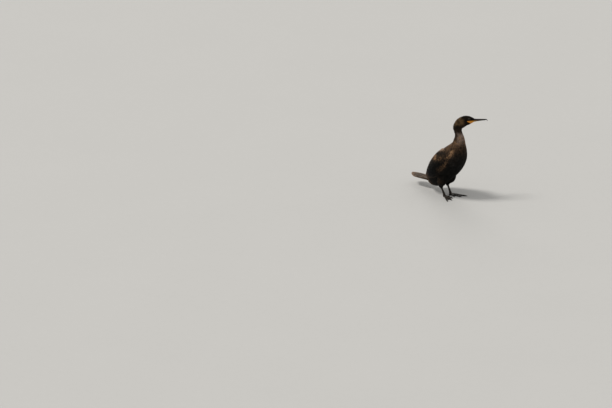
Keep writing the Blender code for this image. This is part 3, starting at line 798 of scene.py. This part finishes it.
def scale_rows(surface, low, high, around, size, spacing, light, chance, lift, depth, fringe, roll=0.1):
    """Roots in staggered rows from a low to a high station.

    around gives the first and last u and whether they meet, size the length and half width at a station, and
    spacing the way from vane to vane in half widths.
    """
    first, last, closed = around
    tables = []
    s, row = low, 0
    while s < high:
        length, half = size(s)
        probe = np.linspace(first, last, 40)
        places = surface.place(np.full(40, s), probe)
        width = np.linalg.norm(np.diff(places, axis=0), axis=1).sum()
        ds = np.median(surface.steps(np.full(40, s), probe)[0])
        count = max(3, int(round(width / (half * spacing))))
        at = np.arange(count) + 0.5 * (row % 2) + chance.uniform(-0.22, 0.22, count)
        at = at / (count if closed else count - 0.5)
        scale = chance.uniform(0.86, 1.14, count)
        u = first + (last - first) * at
        if closed:
            u = (u + math.pi) % (2 * math.pi) - math.pi
        ss = s + chance.uniform(-0.18, 0.18, count) * length / ds
        # fringe, tan and darkening from the spots, partly painted highlight and shade
        fringe_and_highlight, tan, left = light(ss, u)
        tables.append(
            root_table(
                count, s=ss, u=u, turn=chance.normal(0, 0.08, count), length=length * scale,
                half=half * scale, depth=depth, lift=lift + chance.uniform(-0.25, 0.3, count),
                roll=roll * np.where(chance.random(count) < 0.5, -1, 1),
                fringe=np.clip((fringe + fringe_and_highlight) * chance.uniform(0.3, 1.35, count), 0, 1),
                tone=left * chance.uniform(0.6, 1.4, count),
                tan=np.clip(tan * chance.choice([0.05, 0.5, 2.2], count, p=[0.35, 0.25, 0.4]), 0, 1),
            )
        )
        s += length * ROW_STEP / ds
        row += 1
    return joined(tables)


def covered(s, u, margin):
    """True under a folded wing, by the body's station and the angle round from the back."""
    x = curve_rows(BODY, s)[:, 0]
    keys = np.array(WING[::-1], float)
    low, high = np.interp(x, keys[:, 0], keys[:, 8]), np.interp(x, keys[:, 0], keys[:, 9])
    angle = np.degrees(np.abs(u))
    along_wing = (x < COVERED_TO) & (x > COVERED_FROM) & (s < COVERED_END)
    return along_wing & (angle > low + margin) & (angle < high - margin)


def vane_tiers(surface, tiers, chance):
    """Roots of long feathers laid side by side from a first to a last place across a wing."""
    tables = []
    for count, first, last, root, tip, nearer, half, lift, fringe, tan in tiers:
        t = np.arange(count) / (count - 1)
        u = first + (last - first) * t + chance.uniform(-0.006, 0.006, count)
        end = np.minimum(tip - nearer * t + chance.uniform(-0.05, 0.02, count), TIP_END)
        start = root + chance.uniform(0.0, 0.05, count)
        reach = surface.steps((start + end) / 2, u)[0]
        # fringe, tan share and darkening from the wing's spots, partly painted highlight and shade
        fringe_and_highlight, light, left = lights(WING_FRINGES_AND_PAINTED_LIGHT, end - 0.2, u)
        tables.append(
            root_table(
                count, s=start, u=u, turn=chance.normal(0, 0.012, count), length=(end - start) * reach,
                half=half * chance.uniform(0.95, 1.06, count), depth=1.6, lift=lift + 0.25 * t, roll=0.14,
                fringe=np.clip(fringe + fringe_and_highlight * 0.6, 0, 1) * chance.uniform(0.6, 1.1, count),
                tone=left * chance.uniform(0.75, 1.25, count), tan=np.clip(tan + light * 0.3, 0, 1),
            )
        )
    return joined(tables)


# Long feathers of a wing: count, first and last share across, root and tip station, how much nearer the last
# tip is, half width, lift, fringe and tan
FLIGHT_TIERS = [
    (9, 0.06, 0.90, 3.2, 6.02, 0.45, 6.8, 0.3, 0.25, 0.03),
    (14, 0.26, 1.00, 2.0, 5.55, 1.30, 8.0, 1.0, 0.35, 0.03),
    (8, 0.00, 0.34, 2.2, 5.35, -0.10, 7.6, 2.0, 0.55, 0.08),
]


# Settings


class CormorantSizes(bpy.types.PropertyGroup):
    """Spacings and depths of the model's surfaces"""

    coat_depth: FloatProperty(
        name="Coat depth", description="How far the skin lies under the plumage", default=0.0022,
        unit="LENGTH",
    )
    skin_step: FloatProperty(
        name="Skin step", description="Spacing of the skin's mesh", default=0.0024, unit="LENGTH"
    )
    face_step: FloatProperty(
        name="Face step", description="Spacing of the bare face's mesh", default=0.0007, unit="LENGTH"
    )
    leg_step: FloatProperty(
        name="Leg step", description="Spacing of the legs' mesh", default=0.0009, unit="LENGTH"
    )
    eye_opening: FloatProperty(
        name="Eye opening", description="Half the width between the lids", default=0.0041, unit="LENGTH"
    )


class CormorantColours(bpy.types.PropertyGroup):
    """Main colours of feathers, bare skin, bill and legs, and the plumage's seed"""

    fringe: FloatVectorProperty(
        name="Pale fringe", description="Worn edges of the feathers", default=(0.36, 0.205, 0.112),
        subtype="COLOR",
    )
    gular: FloatVectorProperty(
        name="Bare throat", description="Orange-yellow skin of gape and throat",
        default=(0.56, 0.215, 0.014), subtype="COLOR",
    )
    horn: FloatVectorProperty(
        name="Bill horn", description="Dark horn of the bill", default=(0.0075, 0.0070, 0.0067),
        subtype="COLOR",
    )
    leg: FloatVectorProperty(
        name="Leg scales", description="Scales of legs and webs", default=(0.017, 0.012, 0.0075),
        subtype="COLOR",
    )
    seed: IntProperty(name="Seed", description="Sets the plumage's small irregularities", default=7)


# Pieces


class OBJECT_OT_cormorant_skin(bpy.types.Operator):
    """One continuous skin under the plumage of body, wings, thighs, neck and head"""

    bl_idname = "object.cormorant_skin"
    bl_label = "Skin"

    def execute(self, context):
        sizes = context.scene.cormorant_sizes
        names = ["torso", "neck", "head", "thigh_left", "thigh_right"]
        bm = node_copy(names + ["gular_pouch"])
        for side in (1.0, -1.0):
            tube(bm, wing_rings(side))
        tube(bm, rings_of(TAIL_ROOT[:4], 20, 3))
        made, tree, shader, tone = uneven_material("skin_under_plumage", 0.7, 0.5, None, 1.4, 120.0, 900.0)
        bump(tree, shader, tone.outputs["Value"], 0.0006)
        skin = from_bmesh("skin", bm, made)
        remeshed(skin, sizes.skin_step, 5, 0.0005, sizes.coat_depth)
        colour_points(skin.data, "tint", plumage(vertex_values(skin.data, "co")) * 0.8)
        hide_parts(*names, "wing_left", "wing_right")
        return {"FINISHED"}


class OBJECT_OT_cormorant_body_feathers(bpy.types.Operator):
    """Contour feathers of head, neck, breast, back, belly and thighs"""

    bl_idname = "object.cormorant_body_feathers"
    bl_label = "Body feathers"

    def execute(self, context):
        colours = context.scene.cormorant_colours
        made = feather_material("body_feathers", 0.4, 0.62, tuple(colours.fringe))
        body = Sweep(BODY)

        # the body's spots of fringe, tan and darkening, partly painted highlight and shade
        def light(s, u):
            return lights(BODY_FRINGES_AND_PAINTED_LIGHT, s, u, DEGREES)

        def clear(table):
            """Leaves out what lies on the bare face, on an eye or ahead of the forehead."""
            at = body.place(table["s"], table["u"]) - SHIFT
            along, height, _ = head_coordinates(at)
            nearest = np.clip(EYE_ALONG, along - table["length"], along)
            eye = np.hypot(nearest - EYE_ALONG, height - EYE_HEIGHT)
            face = (border_distance(along, height) > BARE_REACH) | (eye < LID_REACH)
            ahead = np.clip(np.cos(table["u"]), 0, 1) ** 3
            return kept(table, ~((height > HEAD_FOOT) & face) & (table["s"] < FOREHEAD_END + 0.2 * ahead))

        # name, first and last station, length and half width at both, shape, slot, fringe, depth, lift
        pieces = [
            ("belly", 0.0, 6.6, (16.0, 3.9, 15.5, 3.7), "rounded", "torso", 0.05, 1.8, 0.25),
            ("breast", 6.6, 9.4, (14.5, 3.4, 9.5, 2.1), "rounded", "torso", 0.07, 1.8, 0.25),
            ("neck", 9.4, 14.0, (8.5, 1.5, 5.8, 0.90), "pointed", "neck", 0.12, 1.6, 0.05),
            ("head", 14.0, 18.9, (5.2, 0.82, 2.9, 0.52), "pointed", "head", 0.06, 1.1, 0.05),
        ]
        for index, (name, low, high, sizes, shape, slot, pale, depth, lift) in enumerate(pieces):
            chance = np.random.default_rng(colours.seed + index)

            def size(s):
                t = (s - low) / (high - low)
                return sizes[0] + (sizes[2] - sizes[0]) * t, sizes[1] + (sizes[3] - sizes[1]) * t

            table = scale_rows(body, low, high, ALL_ROUND, size, 1.25, light, chance, lift, depth, pale)
            table = clear(kept(table, ~covered(table["s"], table["u"], 9)))
            slot = slot + "_feathers"
            feathers("feathers_" + name, body, table, made, -1, 2, shape, 0.18, (0.05, 0.3))
        size = growing(12.5, -1.4, 3.0, -0.45, -0.3)
        for name, corner in (("left", 0.45), ("right", 0.68)):
            chance = np.random.default_rng(colours.seed + 12)
            thigh = Sweep(leg_rows(name))
            table = scale_rows(thigh, -1.0, 3.93, ALL_ROUND, size, 1.25, light, chance, 0.3, 1.6, 0.02)
            # roots deep inside the belly are left out
            at = thigh.beyond(table["s"], table["u"]) - SHIFT
            _, front = trunk_coordinates(at)
            table = kept(table, (front / OVAL_DEPTH) ** 2 + (at[:, 1] / OVAL_SIDE) ** 2 > OVAL_SIZE)
            table["tan"] *= 0.0
            table["fringe"] *= 0.4
            name, corner = "feathers_thigh_" + name, (corner, 0.78)
            feathers(name, thigh, table, made, 1, 2, "rounded", 0.18, corner)
        return {"FINISHED"}


class OBJECT_OT_cormorant_wings(bpy.types.Operator):
    """Flight feathers, coverts and shoulder feathers of both folded wings"""

    bl_idname = "object.cormorant_wings"
    bl_label = "Wings"

    def execute(self, context):
        colours = context.scene.cormorant_colours
        made = feather_material("wing_feathers", 0.4, 0.55, tuple(colours.fringe))

        # the wing's spots of fringe, tan and darkening, partly painted highlight and shade
        def light(s, u):
            return lights(WING_FRINGES_AND_PAINTED_LIGHT, s + 0.12 + 0.08 * np.maximum(s, 0), u)

        # name, first and last station and share, sizes, spacing, lift, depth, fringe, roll, camber
        rows = [
            (
                "wing_coverts_", -0.08, 3.25, (0.0, 1.0, False), growing(10.5, 5.0, 3.1, 1.1, 0),
                1.15, 1.2, 1.5, 0.12, 0.15, 0.14,
            ),
            (
                "shoulder_feathers_", 0.25, 3.3, (-0.03, 0.26, False), growing(15.0, 5.5, 4.0, 1.0),
                1.1, 1.6, 1.0, 0.22, 0.14, 0.16,
            ),
        ]
        for side, name, corner in ((1.0, "left", (0.1, 0.55)), (-1.0, "right", (0.1, 0.75))):
            surface = Sweep(WING, side, True)
            chance = np.random.default_rng(colours.seed + 20)
            flight = vane_tiers(surface, FLIGHT_TIERS, chance)
            feathers("flight_feathers_" + name, surface, flight, made, 1, 4, "long", 0.10, corner)
            for piece, low, high, across, size, spacing, *coat, camber in rows:
                table = scale_rows(surface, low, high, across, size, spacing, light, chance, *coat)
                feathers(piece + name, surface, table, made, 1, 4, "rounded", camber, corner)
        return {"FINISHED"}


class OBJECT_OT_cormorant_bill(bpy.types.Operator):
    """Both halves of the hooked bill"""

    bl_idname = "object.cormorant_bill"
    bl_label = "Bill"

    def execute(self, context):
        horn = np.array(context.scene.cormorant_colours.horn)
        for name, rows, slot in (
            ("bill_upper", UPPER_BILL, "bill_horn_dark"),
            ("bill_lower", LOWER_BILL, "bill_horn_pale"),
        ):
            made, tree, shader, tone = uneven_material(name + "_horn", 0.42, 0.3, None, 1.3, 150.0, 1300.0)
            bump(tree, shader, tone.outputs["Value"], 0.00025, 0.4)
            bm = bmesh.new()
            tube(bm, rings_of(bill_rows(rows), 36, 7))
            piece = from_bmesh(name + "_horn", bm, made)
            p = design_places(piece.data)
            along, height, _ = head_coordinates(p)
            t = (along - BILL_ROOT) / BILL_LENGTH
            if name == "bill_upper":
                keys = np.array(rows, float)
                middle = BILL_HEIGHT + np.interp(t, keys[:, 0], keys[:, 1])
                share = (height - middle) / np.interp(t, keys[:, 0], keys[:, 4])
                groove = np.exp(-(((share - 0.50) / 0.10) ** 2))
                groove = groove * smooth(t, -0.02, 0.05) * smooth(-t, -0.80, -0.70)
                nail = np.exp(-(((t - 0.815 - 0.03 * share) / 0.008) ** 2)) * (t < 0.9)
                sink = GROOVE_DEPTH * groove + NAIL_DEPTH * nail
                p -= vertex_values(piece.data, "normal") * sink[:, None]
                side = smooth(-share, -0.75, -0.2) * smooth(-t, -0.72, -0.40)
                colour = blend(horn, (0.030, 0.017, 0.012), side)
                colour = blend(colour, (0.035, 0.030, 0.025), smooth(t, 0.84, 0.95) * 0.5)
            else:
                colour = blend(np.array((0.34, 0.165, 0.028)), (0.050, 0.027, 0.017), smooth(t, 0.0, 0.30))
                colour = blend(colour, horn * 1.4, smooth(t, 0.45, 0.75))
            move_points(piece.data, p)
            colour_points(piece.data, "tint", colour)
            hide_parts(name)
        return {"FINISHED"}


class OBJECT_OT_cormorant_face(bpy.types.Operator):
    """Bare orange-yellow skin of gape and throat, with its folds and the mouth line"""

    bl_idname = "object.cormorant_face"
    bl_label = "Bare face"

    def execute(self, context):
        sizes, colours = context.scene.cormorant_sizes, context.scene.cormorant_colours
        made, tree, shader, _ = uneven_material("bare_skin", 0.45, 0.25, None, 2.2, 260.0, 1100.0)
        shader.inputs["Subsurface Weight"].default_value = 0.08
        shader.inputs["Subsurface Scale"].default_value = 0.002
        beads = texture(tree, "ShaderNodeTexVoronoi", 1500.0)
        bump(tree, shader, beads.outputs["Distance"], 0.0002, 0.7)
        face = from_bmesh("bare_face", node_copy(["head", "gular_pouch"]), made)
        remeshed(face, sizes.face_step, 4, 0.0004, 0.0)
        mesh = face.data
        p = design_places(mesh)
        along, height, aside = head_coordinates(p)
        inside = border_distance(along, height)
        mouth = height - (MOUTH_HEIGHT + (along - 116) * MOUTH_SLOPE)
        gape = smooth(along, 84.5, 88.0)
        line = np.exp(-((mouth / 0.42) ** 2)) * gape
        lip = np.exp(-(((np.abs(mouth) - 1.3) / 0.7) ** 2)) * gape
        folds = np.sin(along * 2.1 + 0.9 * np.sin(height * 0.5) + aside * 0.3)
        folds = folds * np.sin(height * 1.1 + along * 0.55) * smooth(-height, -368, -362) * FOLD_HEIGHT
        sink = 2.6 * smooth(-inside, -2.2, 0.6) + 0.4 + 1.1 * line - 0.35 * lip - folds
        p -= vertex_values(mesh, "normal") * sink[:, None]
        move_points(mesh, p)
        # the folds' ridges are painted paler and their troughs darker, as painted highlight and shade
        colour = np.array(colours.gular)[None] * (1 + 0.5 * folds[:, None] / FOLD_HEIGHT * 0.35)
        # paler towards the bill; painted shade at the feathers' edge, where the skin passes under them, and in
        # the mouth line's groove
        for other, amount in (
            ((0.46, 0.25, 0.026), smooth(along, 104, 118)),
            ((0.10, 0.045, 0.018), smooth(-inside, -1.6, 0.4) * 0.85),
            ((0.035, 0.012, 0.008), line),
        ):
            colour = blend(colour, other, amount)
        colour_points(mesh, "tint", colour)
        bm = bmesh.new()
        bm.from_mesh(mesh)
        away = [v for v, d in zip(bm.verts, inside) if d < -1.5]
        bmesh.ops.delete(bm, geom=away, context="VERTS")
        bm.to_mesh(mesh)
        bm.free()
        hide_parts("gular_pouch")
        return {"FINISHED"}


class OBJECT_OT_cormorant_eyes(bpy.types.Operator):
    """Eyeballs with iris and pupil, and the beaded lids round them"""

    bl_idname = "object.cormorant_eyes"
    bl_label = "Eyes"

    def execute(self, context):
        opening = context.scene.cormorant_sizes.eye_opening / MM
        made, tree, shader = new_material("eye_dark", 0.06, 0.15)
        add, times = maths(tree, "ADD", "MULTIPLY")
        rays = texture(tree, "ShaderNodeTexNoise", 900.0)
        shifted = add(attribute(tree, "gaze", "Fac"), times(rays.outputs["Fac"], 0.03))
        ramp = node(tree, "ShaderNodeValToRGB")
        while len(ramp.color_ramp.elements) < len(IRIS):
            ramp.color_ramp.elements.new(0.5)
        for element, (position, colour) in zip(ramp.color_ramp.elements, IRIS):
            element.position, element.color = position, (*colour, 1.0)
        tree.links.new(shifted, ramp.inputs["Fac"])
        tree.links.new(ramp.outputs["Color"], shader.inputs["Base Color"])
        lid, tree, shader = new_material("lid_skin", 0.6, 0.25)
        beads = texture(tree, "ShaderNodeTexVoronoi", 1300.0).outputs["Distance"]
        tone = mix_colour(tree, beads, (0.022, 0.018, 0.014), (0.008, 0.007, 0.006))
        tree.links.new(tone, shader.inputs["Base Color"])
        bump(tree, shader, calc(tree, "SUBTRACT", 1.0, beads), 0.0003)
        for name, side in (("left", 1.0), ("right", -1.0)):
            centre = placed(head_place(EYE_ALONG, EYE_HEIGHT, side * EYE_OUT))
            ahead, over, out = EYE_GAZE
            target = head_place(EYE_ALONG + ahead, EYE_HEIGHT + over, side * out)
            facing = (target - head_place(EYE_ALONG, EYE_HEIGHT)).normalized()
            turn = facing.to_track_quat("Z", "Y").to_matrix().to_4x4()
            bm = bmesh.new()
            bmesh.ops.create_uvsphere(bm, u_segments=48, v_segments=40, radius=EYE_RADIUS * MM)
            bmesh.ops.transform(bm, matrix=Matrix.Translation(centre) @ turn, verts=bm.verts)
            turned = [max(-1.0, min(1.0, (v.co - centre).normalized().dot(facing))) for v in bm.verts]
            eye = from_bmesh("eyeball_" + name, bm, made)
            value_points(eye.data, "gaze", np.minimum(np.arccos(turned) / (math.pi / 2), 1.0))
            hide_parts("eye_" + name)
            bm = bmesh.new()
            reach = math.sqrt(EYE_RADIUS**2 - opening**2)
            line = [bm.verts.new(Vector((opening + r, 0, reach + h)) * MM) for r, h in LID]
            edges = [bm.edges.new(pair) for pair in zip(line, line[1:])]
            bmesh.ops.spin(
                bm, geom=line + edges, axis=(0, 0, 1), cent=(0, 0, 0), angle=2 * math.pi, steps=48,
                use_merge=True,
            )
            bmesh.ops.scale(bm, vec=(1.0, 0.93, 1.0), verts=bm.verts)
            bmesh.ops.recalc_face_normals(bm, faces=bm.faces)
            bmesh.ops.transform(bm, matrix=Matrix.Translation(centre) @ turn, verts=bm.verts)
            from_bmesh("eyelid_" + name, bm, lid)
        return {"FINISHED"}


class OBJECT_OT_cormorant_tail(bpy.types.Operator):
    """Twelve stiff tail feathers and the coverts over and under their roots"""

    bl_idname = "object.cormorant_tail"
    bl_label = "Tail"

    def execute(self, context):
        colours = context.scene.cormorant_colours
        made = feather_material("tail_feathers", 0.35, 0.55, tuple(colours.fringe))
        x, t, faces = vane_prototype(GRIDS["long"], 6)
        places = 2 * np.arange(TAIL_FEATHERS) / (TAIL_FEATHERS - 1) - 1
        points = []
        for place in places:
            turn = math.radians(180 - place * TAIL_SPREAD)
            along = np.array((math.cos(turn), math.sin(turn), 0.0))
            across = np.array((-along[1], along[0], 0.0))
            length = TAIL_LENGTH * (1 - 0.3 * abs(place) ** 1.6)
            root = np.array((TAIL_START[0], place * TAIL_START[1], TAIL_START[2] - 2.2 * abs(place)))
            wide = TAIL_HALF_WIDTH * np.interp(t, *OUTLINES["long"]) * x
            vane = root + along * (length * t)[:, None] + across * wide[:, None] + SHIFT
            vane[:, 2] += 0.5 * (1 - np.abs(x)) + 0.55 * x * np.sign(place) - 0.8 * t**2 * abs(place)
            points.append(vane)
        homes = np.stack([0.93 + 0 * places, 0.5 + places * 0.05], 1)
        mesh = vane_mesh("tail_vanes", np.concatenate(points) * MM, (x, t, faces), homes)
        shade = np.tile(np.interp(t, [0, 0.7, 1.0], [0.75, 1.0, 1.25]), TAIL_FEATHERS)[:, None]
        colour_points(mesh, "tint", np.array((0.036, 0.025, 0.0165))[None] * shade)
        value_points(mesh, "fringe", np.full(len(shade), 0.3))
        tail = add_object("tail_vanes", mesh, made)
        tail.modifiers.new("thickness", "SOLIDIFY").thickness = 0.0005
        applied(tail)
        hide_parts("tail")
        chance = np.random.default_rng(colours.seed + 40)
        root = Sweep(TAIL_ROOT)

        def light(s, _):
            return np.full(len(s), 0.0), np.full(len(s), 0.03), np.ones(len(s))

        size = growing(22.0, 3.0, 4.4, 0.0)
        table = scale_rows(root, 0.1, 2.2, ALL_ROUND, size, 1.15, light, chance, 0.2, 1.2, 0.15, 0.10)
        feathers("tail_coverts", root, table, made, 1, 2, "rounded", 0.16, (0.88, 0.78))
        return {"FINISHED"}


class OBJECT_OT_cormorant_legs(bpy.types.Operator):
    """Scaled legs and webbed feet with their claws"""

    bl_idname = "object.cormorant_legs"
    bl_label = "Legs"

    def execute(self, context):
        leg = np.array(context.scene.cormorant_colours.leg)
        made, tree, shader = new_material("leg_scales", 0.5, 0.15)
        add, times = maths(tree, "ADD", "MULTIPLY")
        reliefs = []
        for scale, steepness, share in ((520.0, 5.0, 0.75), (1300.0, 4.0, 0.25)):
            plates = texture(tree, "ShaderNodeTexVoronoi", scale, feature="DISTANCE_TO_EDGE")
            plate = calc(tree, "MINIMUM", times(plates.outputs["Distance"], steepness), 1.0)
            reliefs.append(times(plate, share))
        relief = add(*reliefs)
        worn = uneven(tree, attribute(tree, "tint"), 1.6, 60.0, 700.0).outputs["Colour"]
        dark = mix_colour(tree, 1.0, worn, (0.35, 0.33, 0.30), "MULTIPLY")
        tree.links.new(mix_colour(tree, relief, dark, worn), shader.inputs["Base Color"])
        bump(tree, shader, relief, 0.0005)
        black = (0.010, 0.009, 0.008)
        horn, tree, shader, grain = uneven_material("claw_horn", 0.4, 0.25, black, 1.4, 300.0, 1800.0)
        bump(tree, shader, grain.outputs["Value"], 0.0002)
        for side in ("left", "right"):
            bm = node_copy([f"shank_{side}", f"foot_{side}"])
            piece = from_bmesh("leg_" + side, bm, made)
            remeshed(piece, context.scene.cormorant_sizes.leg_step, 3, 0.0004, -0.0002)
            web = smooth(-design_places(piece.data)[:, 2], -5.0, -3.0)
            colour_points(piece.data, "tint", blend(leg[None] * 1.25, leg[None] * 0.75, web))
            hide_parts(f"shank_{side}", f"foot_{side}")
            bm = bmesh.new()
            foot = Vector(FEET[side])
            for length, angle in TOES:
                turn = math.radians((1 if foot.y > 0 else -1) * (TOE_TURN - angle))
                ahead = Vector((math.cos(turn), math.sin(turn), 0.0))
                rings = []
                for share, radius, height in CLAW_RINGS:
                    at = foot + ahead * (length * share)
                    dip = CLAW_DIP * max(0.0, share - 0.9) / 0.1
                    row = np.array([[at.x, at.y, height, math.degrees(turn), dip, radius, radius, radius]])
                    rings.append(section_point(np.repeat(row, 10, 0), np.arange(10) * math.pi / 5))
                tube(bm, rings)
            from_bmesh("claws_" + side, bm, horn)
        return {"FINISHED"}


class OBJECT_OT_cormorant_studio(bpy.types.Operator):
    """Pale floor, soft lights and the camera"""

    bl_idname = "object.cormorant_studio"
    bl_label = "Studio"

    def execute(self, context):
        scene = context.scene
        made, *_ = uneven_material("studio_floor", 0.85, 0.5, FLOOR_GREY, 0.06, 2.0, 30.0)
        bm = bmesh.new()
        bmesh.ops.create_grid(bm, x_segments=1, y_segments=1, size=FLOOR_REACH)
        floor = from_bmesh("studio_floor", bm, made, False)
        azimuth, elevation = math.radians(AZIMUTH), math.radians(ELEVATION)
        right = Vector((math.cos(azimuth), math.sin(azimuth), 0))
        level = Vector((math.sin(azimuth), -math.cos(azimuth), 0))
        up = Vector((0, 0, 1)) * math.cos(elevation) - level * math.sin(elevation)
        back = level * math.cos(elevation) + Vector((0, 0, 1)) * math.sin(elevation)
        aim = Vector(SHIFT) * MM - right * VIEW_LEFT - up * VIEW_DOWN
        data = bpy.data.cameras.new("camera")
        data.lens, data.sensor_width, data.clip_end = LENS, SENSOR, 400.0
        camera = bpy.data.objects.new("camera", data)
        scene.collection.objects.link(camera)
        turn = Matrix((right, up, back)).transposed().to_4x4()
        camera.matrix_world = Matrix.Translation(aim + back * DISTANCE) @ turn
        scene.camera = camera
        for name, offset, strength, angle in (
            ("key", right * -1.5 + up * 2.2 + back * 0.9, 2.3, 16.0),
            ("rim", right * -0.4 + up * 1.6 - back * 2.0, 0.7, 30.0),
        ):
            light = bpy.data.lights.new(name, "SUN")
            light.energy, light.angle = strength, math.radians(angle)
            light.color = (1.0, 0.96, 0.90)
            lamp = bpy.data.objects.new(name, light)
            scene.collection.objects.link(lamp)
            lamp.location = Vector((0, 0, 0.2)) + offset
            lamp.rotation_euler = (-offset).to_track_quat("-Z", "Y").to_euler()
        world = bpy.data.worlds.new("studio")
        scene.world = world
        world.use_nodes = True
        sky = world.node_tree.nodes["Background"]
        sky.inputs[0].default_value = SKY_COLOUR
        sky.inputs[1].default_value = SKY_STRENGTH
        scene.view_settings.view_transform = "Standard"
        return {"FINISHED"}


class VIEW3D_PT_cormorant(bpy.types.Panel):
    """Lists the sizes, colours and pieces of the standing cormorant"""

    bl_idname = "VIEW3D_PT_cormorant"
    bl_label = "Standing cormorant"
    bl_space_type = "VIEW_3D"
    bl_region_type = "UI"
    bl_category = "Cormorant"

    def draw(self, context):
        for group in (context.scene.cormorant_sizes, context.scene.cormorant_colours):
            for name in group.__annotations__:
                self.layout.prop(group, name)
        for piece in PIECES:
            self.layout.operator(piece.bl_idname)


PIECES = (
    OBJECT_OT_cormorant_skin,
    OBJECT_OT_cormorant_body_feathers,
    OBJECT_OT_cormorant_wings,
    OBJECT_OT_cormorant_tail,
    OBJECT_OT_cormorant_bill,
    OBJECT_OT_cormorant_face,
    OBJECT_OT_cormorant_eyes,
    OBJECT_OT_cormorant_legs,
    OBJECT_OT_cormorant_studio,
)
CLASSES = (CormorantSizes, CormorantColours, *PIECES, VIEW3D_PT_cormorant)


def register():
    for cls in CLASSES:
        bpy.utils.register_class(cls)
    bpy.types.Scene.cormorant_sizes = PointerProperty(type=CormorantSizes)
    bpy.types.Scene.cormorant_colours = PointerProperty(type=CormorantColours)


def unregister():
    del bpy.types.Scene.cormorant_colours
    del bpy.types.Scene.cormorant_sizes
    for cls in reversed(CLASSES):
        bpy.utils.unregister_class(cls)


def main():
    register()
    for piece in PIECES:
        category, name = piece.bl_idname.split(".")
        getattr(getattr(bpy.ops, category), name)()


if __name__ == "__main__":
    main()
